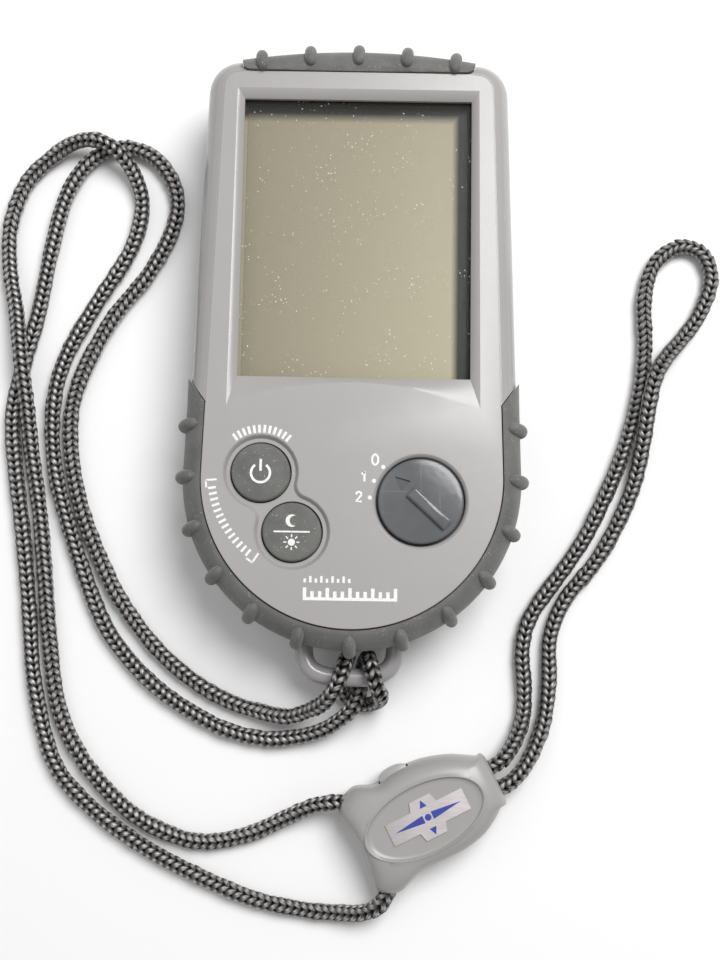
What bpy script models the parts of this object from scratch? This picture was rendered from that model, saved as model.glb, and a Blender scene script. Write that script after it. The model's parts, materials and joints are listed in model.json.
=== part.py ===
"""Pocket digital compass with a braided neck lanyard, modelled piece by piece.

The compass lies on its back: X to the right, Y up the case, Z out of the face.
All sizes here are in millimetres, and solid() and wire() turn them into metres.
"""

import math

import bmesh
import bpy
import numpy as np
from mathutils import Matrix, Vector

MM = 0.001
GAP = 0.3

# Case: the lower end is a half circle about the dial centre, and the sides taper upwards.
DIAL_Y = -25.6
FACE_RADIUS = 30.0
FACE_HALF_TOP = 27.6
FACE_TOP = 86.8
FACE_CORNER = 2.8
TOP_CROWN_RADIUS = 145.0
CASE_GROW = 4.1
FACE_Z = 22.0
PARTING_Z = 11.0
WALL = 1.8
CAVITY_GROW = 0.4

# Window, in dial coordinates (y counted from the dial centre).
WINDOW_HALF = 23.65
WINDOW_LOW = 20.45
WINDOW_HIGH = 79.5
WINDOW_SINK = 0.9
SURROUND_HALF_TOP = 25.2
SURROUND_HALF_LOW = 25.7
SURROUND_TOP = 81.6
SURROUND_TIP = 14.0
SURROUND_ARCH = 19.2
LCD_Z = 17.8

# Controls.
POWER_AT = (-18.3, 0.7)
LIGHT_AT = (-11.8, -11.2)
BUTTON_RADIUS = 5.85
RECESS_RADIUS = 7.0
RECESS_FILLET = 3.0
RECESS_DEPTH = 0.9
KNOB_AT = (13.8, -4.7)
KNOB_RADIUS = 8.55
KNOB_HOLE = 9.0
BOARD_Z = 13.4
BOARD_THICK = 1.2

# Rubber bumpers: sections as (growth outside the face outline, height) pairs.
SIDE_SECTION = (
    (0.55, 21.7), (1.6, 21.45), (3.0, 20.3), (4.1, 18.4), (4.6, 16.2), (4.4, 13.6),
    (3.7, 11.2), (3.5, 7.4), (2.4, 6.2), (2.4, 11.0), (2.4, 17.3), (1.2, 19.4), (0.55, 19.9),
)
SIDE_RIB = (
    (0.55, 21.7), (1.9, 21.9), (3.9, 21.2), (5.4, 19.2), (6.1, 17.0), (5.6, 14.6),
    (3.8, 13.0), (3.5, 7.4), (2.4, 6.2), (2.4, 11.0), (2.4, 17.3), (1.2, 19.4), (0.55, 19.9),
)
SIDE_POCKET = ((0.25, 24.0), (8.0, 24.0), (8.0, 5.7), (2.1, 5.7), (2.1, 17.2), (1.0, 19.2), (0.25, 19.6))
TOP_SECTION = (
    (-1.0, 22.3), (0.6, 22.6), (2.6, 21.4), (4.2, 18.8), (4.7, 16.2), (4.5, 13.6),
    (3.7, 11.2), (3.5, 7.4), (2.4, 6.2), (2.4, 11.0), (2.4, 17.3), (0.9, 19.6), (-1.0, 20.9),
)
TOP_RIB = (
    (-1.0, 22.3), (1.6, 23.0), (3.9, 22.2), (5.4, 19.8), (6.3, 17.0), (5.8, 14.6),
    (3.8, 13.0), (3.5, 7.4), (2.4, 6.2), (2.4, 11.0), (2.4, 17.3), (0.9, 19.6), (-1.0, 20.9),
)
TOP_POCKET = ((-1.3, 24.0), (8.0, 24.0), (8.0, 5.7), (2.1, 5.7), (2.1, 17.2), (0.7, 19.3), (-1.3, 20.6))
RIB_WIDTH = 2.4
RIB_EDGE = 0.35
SIDE_RIB_PITCH = 18.0
SIDE_RIB_ABOVE = 10.6
SIDE_BUMPER_TOP = 17.6
SIDE_END_SKEW = 1.4
SIDE_END_ROOM = 3.6
TOP_BUMPER_HALF = 23.9
TOP_RIB_PITCH = 9.95

# Lanyard loop: a closed D of round bar, held between the shells.
LOOP_HALF = 9.4
LOOP_BAR = 1.9
LOOP_Z = 9.2
LOOP_LEG_TOP = -27.4
LOOP_BEND_Y = -33.2
LOOP_DROP = 6.7
LOOP_SQUARE = 0.65

# Battery bay, behind the display.
CELL_RADIUS = 5.25
CELL_Z = 7.9
CELLS_Y = (44.5, 56.5)
BAY_LOW = 37.0
BAY_HIGH = 64.0
COVER_THICK = 1.4
COVER_Z = 0.3

# Screws.
CASE_SCREWS = ((-18.0, 83.7), (18.0, 83.7), (-25.5, 11.0), (25.5, 11.0))
BOARD_SCREWS = ((0.3, 12.5), (-1.7, -13.6))

# Cord lock, in its own axes: u along the cord towards the mouth, v to its left.
LOCK_AT = (15.85, -93.4)
LOCK_TURN = math.radians(27.0)
LOCK_OUTLINE = (
    (16.5, -4.7), (15.0, -5.2), (13.0, -6.7), (9.5, -8.5), (5.0, -9.4), (0.0, -9.5), (-4.8, -9.3),
    (-8.3, -10.4), (-11.5, -11.2), (-14.8, -9.4), (-14.9, -6.5), (-14.1, -0.3), (-14.7, 4.0),
    (-15.4, 7.5), (-14.3, 9.8), (-10.7, 11.6), (-7.0, 10.3), (-4.8, 10.2), (-2.0, 10.8), (2.0, 10.9),
    (5.8, 10.3), (10.2, 8.8), (13.3, 7.1), (15.2, 6.0), (16.5, 5.6), (16.7, 0.5),
)
LOCK_BACK_Z = 0.2
LOCK_PARTING = 5.5
LOCK_TOP_Z = 10.9
LOCK_PANEL_HALF = (12.6, 6.7)
LOCK_PANEL_SINK = 0.6
LOCK_BUTTON_U = -1.9
LOCK_BUTTON_HALF = 3.2
LOCK_LEGS = (((-0.2, -90.9), (1.0, 0.05)), ((8.7, -108.5), (0.45, 0.89)))

# Cord routes in world millimetres, each point (x, y, z).
CORD_RADIUS = 1.7
CORD_STEP = 7.0
HITCH_STEP = 2.4
NECK_A = (
    (-8.4, -72.4, 7.5), (-12.5, -73.7, 5.0), (-18.0, -73.0, 2.7), (-25.0, -71.0, 1.8),
    (-32.5, -67.0, 1.8), (-40.5, -60.5, 1.8), (-47.5, -52.0, 1.8), (-52.0, -44.5, 1.8),
    (-58.0, -30.5, 1.8), (-61.0, -16.0, 1.8), (-60.0, -4.0, 1.8), (-53.5, 10.5, 1.8),
    (-45.5, 21.5, 1.8), (-40.5, 32.0, 1.8), (-40.2, 40.5, 1.8), (-45.0, 47.8, 1.8),
    (-52.5, 50.3, 1.8), (-59.5, 46.9, 1.8), (-64.3, 39.0, 1.8), (-67.0, 27.0, 1.8),
    (-69.3, 12.0, 1.8), (-71.9, 1.0, 1.8), (-73.8, -10.5, 1.8), (-72.6, -22.5, 1.8),
    (-70.2, -37.0, 1.8), (-68.2, -52.5, 1.8), (-66.3, -68.0, 1.8), (-61.7, -83.5, 1.8),
    (-54.2, -92.4, 1.8), (-43.0, -100.4, 1.8), (-31.0, -106.4, 1.8), (-19.0, -111.1, 1.8),
    (-8.0, -113.2, 1.8), (-1.5, -113.5, 2.4), (3.4, -113.2, 4.1), (6.6, -111.7, 5.3),
    (8.1, -109.7, 5.5), (9.5, -106.9, 5.5),
)
NECK_B = (
    (-3.1, -75.2, 4.4), (-6.2, -76.8, 3.4), (-10.5, -78.0, 2.3), (-17.0, -78.6, 1.8), (-25.0, -77.0, 1.8),
    (-32.5, -73.5, 1.8), (-40.5, -68.3, 1.8), (-47.5, -61.5, 1.8), (-53.0, -53.5, 1.8),
    (-59.5, -37.5, 1.8), (-64.0, -22.5, 1.8), (-65.1, -9.0, 1.8), (-63.0, 2.0, 1.8),
    (-57.0, 14.0, 1.8), (-49.8, 26.5, 1.8), (-47.5, 36.5, 1.8), (-49.3, 43.5, 2.8),
    (-52.8, 48.0, 5.2), (-57.0, 50.3, 5.6), (-61.8, 50.5, 4.4), (-67.0, 48.2, 2.5),
    (-73.2, 42.0, 1.8), (-76.3, 32.5, 1.8), (-76.0, 22.5, 2.2), (-73.5, 11.5, 4.2),
    (-71.8, 1.5, 5.5), (-70.4, -7.5, 4.4), (-69.2, -18.5, 2.2), (-67.0, -31.0, 1.8),
    (-65.3, -44.0, 1.8), (-63.7, -57.5, 1.8), (-61.0, -72.5, 1.8), (-55.5, -83.3, 1.8),
    (-46.6, -92.8, 1.8), (-38.0, -97.8, 1.8), (-29.5, -99.8, 1.8), (-20.0, -98.0, 1.8),
    (-12.5, -94.5, 2.6), (-7.0, -91.9, 4.4), (-2.6, -91.0, 5.5), (2.6, -90.76, 5.5),
)
HITCH = (
    (-8.0, -72.2, 7.9), (-5.4, -70.9, 10.4), (-3.3, -68.6, 12.6), (-1.8, -65.5, 13.2),
    (-0.9, -62.6, 12.1), (-0.4, -61.4, 9.2), (-0.8, -62.6, 6.2), (-1.3, -65.3, 5.1),
    (-1.3, -68.0, 3.6), (0.6, -70.6, 1.9), (3.6, -71.2, 2.0), (6.2, -70.3, 4.4),
    (6.6, -69.1, 8.0), (6.1, -68.3, 11.7), (5.0, -65.0, 13.3), (4.2, -62.3, 12.1),
    (3.9, -61.2, 9.2), (3.3, -62.5, 6.2), (2.6, -65.4, 5.2), (2.1, -68.6, 5.5),
    (0.6, -72.0, 5.6), (-2.6, -74.8, 4.6),
)
WRIST = (
    (27.2, -84.7, 5.5), (31.8, -82.0, 5.2), (34.6, -78.4, 3.6), (36.6, -73.2, 1.9),
    (36.9, -67.0, 1.8), (36.5, -59.0, 1.8), (38.6, -51.5, 1.8), (46.6, -40.2, 1.8),
    (51.3, -32.5, 1.8), (57.8, -18.0, 1.8), (61.8, -4.5, 1.8), (63.3, 6.5, 1.8),
    (63.3, 17.5, 1.8), (65.6, 25.4, 1.8), (71.0, 29.5, 1.8), (76.2, 27.9, 1.8),
    (78.0, 22.0, 1.8), (75.3, 14.3, 1.8), (71.3, 8.6, 2.0), (67.6, 4.2, 3.5),
    (64.8, -0.5, 5.4), (63.2, -7.0, 5.6), (62.2, -15.0, 4.0), (60.2, -24.5, 2.1),
    (56.0, -34.0, 1.8), (51.6, -41.1, 1.8), (45.6, -48.5, 1.8), (42.4, -56.5, 1.8),
    (42.1, -66.0, 1.8), (40.9, -74.5, 2.0), (37.7, -81.8, 3.8), (33.8, -86.3, 5.3), (29.0, -88.5, 5.5),
)


def clear_scene():
    for obj in list(bpy.data.objects):
        bpy.data.objects.remove(obj, do_unlink=True)


def material(name, color, roughness, metallic=0.0):
    made = bpy.data.materials.new(name)
    made.use_nodes = True
    shader = made.node_tree.nodes["Principled BSDF"]
    shader.inputs["Base Color"].default_value = (*color, 1.0)
    shader.inputs["Roughness"].default_value = roughness
    shader.inputs["Metallic"].default_value = metallic
    made.diffuse_color = (*color, 1.0)
    return made


def world(x, y, z):
    """A point in dial coordinates as a world point in millimetres."""
    return Vector((x, y + DIAL_Y, z))


def solid(name, bm, finish, origin=(0.0, 0.0, 0.0), cutter=False):
    """Turns a bmesh in world millimetres into an object whose origin is the given world point."""
    bmesh.ops.recalc_face_normals(bm, faces=bm.faces)
    origin = Vector(origin)
    bmesh.ops.transform(bm, matrix=Matrix.Scale(MM, 4) @ Matrix.Translation(-origin), verts=bm.verts)
    mesh = bpy.data.meshes.new(name)
    bm.to_mesh(mesh)
    bm.free()
    mesh.shade_smooth()
    mesh.set_sharp_from_angle(angle=math.radians(35))
    obj = bpy.data.objects.new(name, mesh)
    obj.location = origin * MM
    bpy.context.scene.collection.objects.link(obj)
    if cutter:
        obj.hide_render = True
        obj.display_type = "WIRE"
    else:
        mesh.materials.append(finish)
    return obj


def boolean(obj, other, operation="DIFFERENCE"):
    step = obj.modifiers.new(operation.lower() + "_" + other.name, "BOOLEAN")
    step.operation = operation
    step.object = other
    step.solver = "EXACT"


def loft(rings, closed_path=False, caps=True):
    """A bmesh skin over equal rings of world points; caps close its ends."""
    bm = bmesh.new()
    rows = [[bm.verts.new(point) for point in ring] for ring in rings]
    count = len(rows[0])
    pairs = list(zip(rows, rows[1:]))
    if closed_path:
        pairs.append((rows[-1], rows[0]))
    for row, after in pairs:
        for i in range(count):
            j = (i + 1) % count
            bm.faces.new((row[i], row[j], after[j], after[i]))
    if caps and not closed_path:
        bm.faces.new(rows[0])
        bm.faces.new(rows[-1])
    return bm


def prism(outline, low, high):
    """A straight solid between two heights over an outline of dial coordinates."""
    return loft([[world(x, y, z) for x, y in outline] for z in (low, high)])


def circle(center, radius, count=32):
    turn = 2 * math.pi / count
    return [
        (center[0] + radius * math.cos(i * turn), center[1] + radius * math.sin(i * turn))
        for i in range(count)
    ]


def rectangle(low, high, corner=0.0, steps=4):
    """A rectangle with round corners, counter-clockwise."""
    if corner <= 0:
        return [(low[0], low[1]), (high[0], low[1]), (high[0], high[1]), (low[0], high[1])]
    centers = (
        (low[0] + corner, low[1] + corner, 180),
        (high[0] - corner, low[1] + corner, 270),
        (high[0] - corner, high[1] - corner, 0),
        (low[0] + corner, high[1] - corner, 90),
    )
    points = []
    for x, y, first in centers:
        for i in range(steps + 1):
            angle = math.radians(first + 90 * i / steps)
            points.append((x + corner * math.cos(angle), y + corner * math.sin(angle)))
    return points


def turned(profile, center, count=32):
    """A solid of revolution about Z through a dial point; profile is (radius, z) from pole to pole."""
    bm = bmesh.new()
    rows = []
    for radius, z in profile:
        if radius == 0:
            rows.append([bm.verts.new(world(center[0], center[1], z))])
        else:
            rows.append([bm.verts.new(world(x, y, z)) for x, y in circle(center, radius, count)])
    for row, after in zip(rows, rows[1:]):
        for i in range(count):
            j = (i + 1) % count
            corners = [row[i % len(row)], row[j % len(row)], after[j % len(after)], after[i % len(after)]]
            bm.faces.new(list(dict.fromkeys(corners)))
    return bm


def rod(radius, low, high, center, count=12):
    """An upright cylinder at a dial point."""
    return turned(((0, low), (radius, low), (radius, high), (0, high)), center, count)


def turned_ring(profile, center, count=32):
    """A ring turned about Z; profile is a closed loop of (radius, z)."""
    rings = []
    for i in range(count):
        angle = 2 * math.pi * i / count
        c, s = math.cos(angle), math.sin(angle)
        rings.append([world(center[0] + radius * c, center[1] + radius * s, z) for radius, z in profile])
    return loft(rings, closed_path=True)


def bar(start, end, radius, count=12):
    """A round bar between two world points."""
    start, end = Vector(start), Vector(end)
    axis = (end - start).normalized()
    side = axis.orthogonal().normalized()
    other = axis.cross(side)
    turn = 2 * math.pi / count
    offsets = [
        side * radius * math.cos(i * turn) + other * radius * math.sin(i * turn) for i in range(count)
    ]
    return loft([[point + offset for offset in offsets] for point in (start, end)])


def face_outline(grow):
    """The face's outline grown outwards: lower half circle, tapering sides, round corners, crowned top."""
    radius = FACE_RADIUS + grow
    half = FACE_HALF_TOP + grow
    corner = FACE_CORNER + grow
    top = FACE_TOP + grow
    slope = (FACE_RADIUS - FACE_HALF_TOP) / (FACE_TOP - FACE_CORNER)
    corner_y = top - corner - (half - corner) ** 2 / (2 * TOP_CROWN_RADIUS)
    points = [(radius * math.cos(a), radius * math.sin(a)) for a in np.radians(np.linspace(180, 360, 25))]
    side = [(radius - slope * y, y) for y in np.linspace(0, corner_y, 5)[1:]]
    points += side
    middle = half - corner
    for angle in np.radians(np.linspace(0, 84, 5)[1:]):
        points.append((middle + corner * math.cos(angle), corner_y + corner * math.sin(angle)))
    for x in np.linspace(middle, -middle, 9)[1:-1]:
        points.append((x, top - x * x / (2 * TOP_CROWN_RADIUS)))
    for angle in np.radians(np.linspace(96, 180, 5)[:-1]):
        points.append((-middle + corner * math.cos(angle), corner_y + corner * math.sin(angle)))
    points += [(-x, y) for x, y in reversed(side)]
    return points


def shell_loft(section):
    """A closed skin through (growth, height) steps of the face outline."""
    return loft([[world(x, y, z) for x, y in face_outline(grow)] for grow, z in section])


def side_ribs():
    """Distances of the side ribs along the face outline, from where the left straight side starts."""
    arc = math.pi * FACE_RADIUS
    ribs = [math.radians(SIDE_RIB_PITCH * i) * FACE_RADIUS for i in range(11)]
    return [-SIDE_RIB_ABOVE, *ribs, arc + SIDE_RIB_ABOVE]


def top_ribs():
    return [TOP_RIB_PITCH * i for i in range(-2, 3)]


def side_station(s):
    """A point on the face outline and its outward direction, s mm along it."""
    slope = (FACE_RADIUS - FACE_HALF_TOP) / (FACE_TOP - FACE_CORNER)
    arc = math.pi * FACE_RADIUS
    if s < 0:
        return (-FACE_RADIUS - slope * s, -s), (-1.0, 0.0)
    if s > arc:
        return (FACE_RADIUS - slope * (s - arc), s - arc), (1.0, 0.0)
    angle = math.pi + s / FACE_RADIUS
    out = (math.cos(angle), math.sin(angle))
    return (FACE_RADIUS * out[0], FACE_RADIUS * out[1]), out


def top_station(s):
    lean = -s / TOP_CROWN_RADIUS
    return (-s, FACE_TOP - s * s / (2 * TOP_CROWN_RADIUS)), (math.sin(lean), math.cos(lean))


def bumper_places(ribs, first, last, inside):
    """Where a bumper's sections stand: its ends, each rib's edges and middle, and between ribs."""
    half = RIB_WIDTH / 2
    places = [first, first + inside, last - inside, last]
    for rib in ribs:
        places += [rib - half, rib - half + RIB_EDGE, rib, rib + half - RIB_EDGE, rib + half]
    places += [(a + b) / 2 for a, b in zip(ribs, ribs[1:])]
    return sorted(places)


def bumper_ring(station, section, skew=0.0):
    (x, y), out = station
    return [world(x + out[0] * grow, y + out[1] * grow + skew * (grow - 2.4), z) for grow, z in section]


def bumper(places, ribs, station, plain, ribbed, skew):
    rings = []
    for s in places:
        near = min(abs(s - rib) for rib in ribs)
        section = ribbed if near < (RIB_WIDTH - RIB_EDGE) / 2 else plain
        at_end = s in (places[0], places[-1])
        rings.append(bumper_ring(station(s), section, skew if at_end else 0.0))
    return loft(rings)


def pocket(first, last, steps, station, section, skew):
    """The room a bumper sits in, a gap longer than it at both ends."""
    rings = []
    for i, s in enumerate(np.linspace(first - GAP, last + GAP, steps)):
        rings.append(bumper_ring(station(s), section, skew if i in (0, steps - 1) else 0.0))
    return loft(rings)


def build_bumpers(rubber):
    """Both rubber bumpers, and the cutters of the pockets they sit in."""
    arc = math.pi * FACE_RADIUS
    side_ends = (-SIDE_BUMPER_TOP, arc + SIDE_BUMPER_TOP)
    ribs = side_ribs()
    places = bumper_places(ribs, *side_ends, SIDE_END_ROOM)
    skin = bumper(places, ribs, side_station, SIDE_SECTION, SIDE_RIB, SIDE_END_SKEW)
    side = solid("side_bumper", skin, rubber)
    ribs = top_ribs()
    places = bumper_places(ribs, -TOP_BUMPER_HALF, TOP_BUMPER_HALF, RIB_WIDTH / 3)
    skin = bumper(places, ribs, top_station, TOP_SECTION, TOP_RIB, 0.0)
    solid("top_bumper", skin, rubber)
    skin = pocket(*side_ends, 27, side_station, SIDE_POCKET, SIDE_END_SKEW)
    side_room = solid("side_pocket", skin, None, cutter=True)
    skin = pocket(-TOP_BUMPER_HALF, TOP_BUMPER_HALF, 9, top_station, TOP_POCKET, 0.0)
    top_room = solid("top_pocket", skin, None, cutter=True)
    return side, side_room, top_room


def surround_cutter():
    """Window hole with the sloped surround: narrow at the sides, down to two points, arched below."""
    window, surround = [], []
    half, tip = SURROUND_HALF_LOW, SURROUND_TIP
    rise = SURROUND_ARCH - tip
    arch = (half * half + rise * rise) / (2 * rise)
    for t in np.linspace(-1, 1, 15):
        window.append((WINDOW_HALF * t, WINDOW_LOW))
        x = half * t
        surround.append((x, SURROUND_ARCH - arch + math.sqrt(arch * arch - x * x)))
    for t in np.linspace(0, 1, 7)[1:]:
        window.append((WINDOW_HALF, WINDOW_LOW + t * (WINDOW_HIGH - WINDOW_LOW)))
        surround.append((half + t * (SURROUND_HALF_TOP - half), tip + t * (SURROUND_TOP - tip)))
    for t in np.linspace(1, -1, 9)[1:]:
        window.append((WINDOW_HALF * t, WINDOW_HIGH))
        surround.append((SURROUND_HALF_TOP * t, SURROUND_TOP))
    for t in np.linspace(1, 0, 7)[1:-1]:
        window.append((-WINDOW_HALF, WINDOW_LOW + t * (WINDOW_HIGH - WINDOW_LOW)))
        surround.append((-half - t * (SURROUND_HALF_TOP - half), tip + t * (SURROUND_TOP - tip)))
    sunk = FACE_Z - WINDOW_SINK
    beyond = [(2 * b[0] - a[0], 2 * b[1] - a[1]) for a, b in zip(window, surround)]
    levels = ((window, sunk - 4.0), (window, sunk), (beyond, FACE_Z + WINDOW_SINK))
    rings = [[world(x, y, z) for x, y in outline] for outline, z in levels]
    return solid("window_cutter", loft(rings), None, cutter=True)


def figure_eight(first, second, radius, fillet, steps=9):
    """Outline round two circles, with a filleted waist on both sides."""
    a, b = Vector(first), Vector(second)
    middle = (a + b) / 2
    half = (b - a).length / 2
    along = (b - a).normalized()
    across = Vector((-along.y, along.x))
    reach = math.sqrt((radius + fillet) ** 2 - half * half)
    lean = math.atan2(reach, half)

    def arc(center, size, start, stop):
        points = []
        for angle in np.linspace(start, stop, steps):
            point = center + along * (size * math.cos(angle)) + across * (size * math.sin(angle))
            points.append((point.x, point.y))
        return points

    points = arc(a, radius, lean, 2 * math.pi - lean)
    points += arc(middle - across * reach, fillet, math.pi - lean, lean)[1:-1]
    points += arc(b, radius, lean - math.pi, math.pi - lean)
    points += arc(middle + across * reach, fillet, -lean, lean - math.pi)[1:-1]
    return points


def join(target, bm, name):
    boolean(target, solid(name, bm, None, cutter=True), "UNION")


def cut(target, bm, name):
    boolean(target, solid(name, bm, None, cutter=True))


def build_case(plastic, rooms):
    front = solid("front_shell", shell_loft((
        (-0.15, 22.0), (0.0, 21.6), (0.35, 21.6), (0.5, 21.9), (2.2, 20.9), (3.5, 18.8), (4.0, 16.0),
        (CASE_GROW, 13.0), (CASE_GROW, PARTING_Z + GAP / 2), (CAVITY_GROW, PARTING_Z + GAP / 2),
        (CAVITY_GROW, 17.0), (-2.0, FACE_Z - WALL),
    )), plastic)
    rear = solid("rear_shell", shell_loft((
        (-0.6, 0.0), (0.8, 0.25), (2.4, 1.2), (3.6, 3.2), (CASE_GROW, 6.5),
        (CASE_GROW, PARTING_Z - GAP / 2), (CAVITY_GROW, PARTING_Z - GAP / 2),
        (CAVITY_GROW, 4.0), (-1.2, WALL),
    )), plastic)
    for room in rooms:
        boolean(front, room)
        boolean(rear, room)
    for number, place in enumerate(CASE_SCREWS, 1):
        roof = 19.0 if place[1] > WINDOW_HIGH else 20.8
        join(front, rod(2.2, PARTING_Z + 0.45, roof, place, 16), f"front_boss_{number}")
        join(rear, rod(2.6, WALL / 2, PARTING_Z - 0.45, place, 16), f"rear_post_{number}")
        cut(front, rod(1.3, PARTING_Z - 1, 18.0, place), f"front_thread_{number}")
        bore = ((0, -1.0), (2.15, -1.0), (2.15, 2.7), (1.3, 2.7), (1.3, 12.0), (0, 12.0))
        cut(rear, turned(bore, place, 12), f"rear_bore_{number}")
    for number, place in enumerate(BOARD_SCREWS, 1):
        join(rear, rod(2.2, WALL / 2, BOARD_Z - GAP, place), f"board_post_{number}")
        cut(rear, rod(1.1, 7.0, BOARD_Z + 1, place), f"board_thread_{number}")
    boolean(front, surround_cutter())
    recess = figure_eight(POWER_AT, LIGHT_AT, RECESS_RADIUS, RECESS_FILLET)
    cut(front, prism(recess, FACE_Z - RECESS_DEPTH, FACE_Z + 1), "button_recess")
    for name, place, radius in (
        ("power_hole", POWER_AT, BUTTON_RADIUS + GAP),
        ("light_hole", LIGHT_AT, BUTTON_RADIUS + GAP),
        ("knob_hole", KNOB_AT, KNOB_HOLE),
    ):
        cut(front, prism(circle(place, radius, 32), 18.0, FACE_Z + 2), name)
    cover_room = rectangle((-25.5, BAY_LOW + 1.0), (25.5, BAY_HIGH - 1.0))
    cut(rear, prism(cover_room, -1.0, 3.0), "cover_opening")
    return front, rear


def loop_path():
    """Centre line of the closed D: straight inner bar, legs, and a squarish half oval outside the case."""
    points = [(-LOOP_HALF, LOOP_LEG_TOP), (-LOOP_HALF, LOOP_BEND_Y + 1.5)]
    for angle in np.radians(np.linspace(180, 360, 17)[1:-1]):
        x, y = math.cos(angle), math.sin(angle)
        points.append((
            LOOP_HALF * math.copysign(abs(x) ** LOOP_SQUARE, x),
            LOOP_BEND_Y - LOOP_DROP * abs(y) ** LOOP_SQUARE,
        ))
    points += [(LOOP_HALF, LOOP_BEND_Y + 1.5), (LOOP_HALF, LOOP_LEG_TOP)]
    return [world(x, y, LOOP_Z) for x, y in points]


def tube_rings(path, radius, count, closed_path=False):
    """Rings square to a path of world points, mitred at its corners, which all lie level."""
    rings = []
    last = len(path) - 1
    for i, point in enumerate(path):
        before = path[i - 1] if i or closed_path else point
        after = path[(i + 1) % len(path)] if i < last or closed_path else point
        into = (point - before).normalized() if i or closed_path else (after - point).normalized()
        onward = (after - point).normalized() if i < last or closed_path else into
        side = Vector((0, 0, 1)).cross(into + onward).normalized()
        stretch = 1 / max(0.5, math.cos(into.angle(onward) / 2))
        turn = 2 * math.pi / count
        rings.append([
            point
            + side * (radius * stretch * math.cos(k * turn))
            + Vector((0, 0, radius * math.sin(k * turn)))
            for k in range(count)
        ])
    return rings


def build_loop(plastic, bodies):
    solid("lanyard_loop", loft(tube_rings(loop_path(), LOOP_BAR, 10, True), closed_path=True), plastic)
    for sign, side in ((-1, "left"), (1, "right")):
        x = sign * LOOP_HALF
        inner = world(x, LOOP_LEG_TOP + LOOP_BAR + 2 * GAP, LOOP_Z)
        channel = bar(inner, world(x, -37.5, LOOP_Z), LOOP_BAR + 1.5 * GAP)
        cutter = solid(f"loop_channel_{side}", channel, None, cutter=True)
        for body in bodies:
            boolean(body, cutter)


def build_display(finishes):
    lens_y = (WINDOW_LOW - 1.4, WINDOW_HIGH + 1.4)
    lens = prism(rectangle((-25.0, lens_y[0]), (25.0, lens_y[1]), 1.0), 18.9, 19.9)
    solid("window_lens", lens, finishes["lens"])
    frame = prism(rectangle((-25.4, 18.6), (25.4, 81.4), 1.0), 17.95, 18.55)
    bezel = solid("lcd_bezel", frame, finishes["dark"])
    cut(bezel, prism(rectangle((-23.2, 20.9), (23.2, 79.1)), 17.0, 19.0), "bezel_window")
    solid("lcd_glass", prism(rectangle((-25.2, 19.0), (25.2, 81.0)), 15.85, LCD_Z - 0.15), finishes["lcd"])
    solid("backlight_panel", prism(rectangle((-24.5, 22.0), (24.5, 80.0)), 14.5, 15.5), finishes["white"])
    solid("zebra_strip", prism(rectangle((-21.0, 19.3), (21.0, 21.3)), 14.95, 15.5), finishes["pink"])


def build_board(finishes):
    low, high = BOARD_Z, BOARD_Z + BOARD_THICK
    board = prism(rectangle((-22.5, -17.0), (22.5, 21.6), 1.5), low, high)
    board = solid("main_board", board, finishes["board"])
    for number, place in enumerate(BOARD_SCREWS, 1):
        cut(board, rod(1.1, low - 1, high + 1, place), f"board_hole_{number}")
        seat = high + GAP
        profile = ((0, 8.0), (0.75, 8.0), (0.75, seat), (1.8, seat), (1.8, seat + 0.8), (0, seat + 1.0))
        solid(f"board_screw_{number}", turned(profile, place, 16), finishes["steel"])
    top = high + GAP
    for name, place in (("power_dome", POWER_AT), ("light_dome", LIGHT_AT)):
        dome = (
            (0, top + 0.1), (2.2, top), (3.0, top), (3.0, top + 0.15), (2.4, top + 0.2), (0, top + 0.35),
        )
        solid(name, turned(dome, place, 16), finishes["steel"])
    chips = (
        ("controller_chip", (-4.0, 4.0), (4.5, 4.5), 1.2, "dark"),
        ("magnetic_sensor", (4.5, -13.0), (2.4, 2.4), 1.3, "dark"),
        ("backlight_led", (8.0, 17.6), (1.6, 0.8), 0.6, "white"),
    )
    for name, (x, y), (half_x, half_y), height, finish in chips:
        outline = rectangle((x - half_x, y - half_y), (x + half_x, y + half_y))
        solid(name, prism(outline, top, top + height), finishes[finish])
    buzzer = ((0, 9.6), (5.6, 9.6), (6.0, 10.0), (6.0, low - GAP), (0, low - GAP))
    solid("buzzer", turned(buzzer, KNOB_AT, 24), finishes["dark"])


def build_buttons(finishes):
    for name, place in (("power_button", POWER_AT), ("light_button", LIGHT_AT)):
        radius = BUTTON_RADIUS
        profile = (
            (0, 16.2), (1.5, 16.2), (1.5, 18.4), (6.5, 18.4), (6.5, 19.6), (radius, 19.6), (radius, 21.7),
            (radius - 0.25, 22.05), (radius - 0.8, 22.25), (0, 22.35),
        )
        solid(name, turned(profile, place, 24), finishes["rubber"], world(*place, 19.0))


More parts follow.
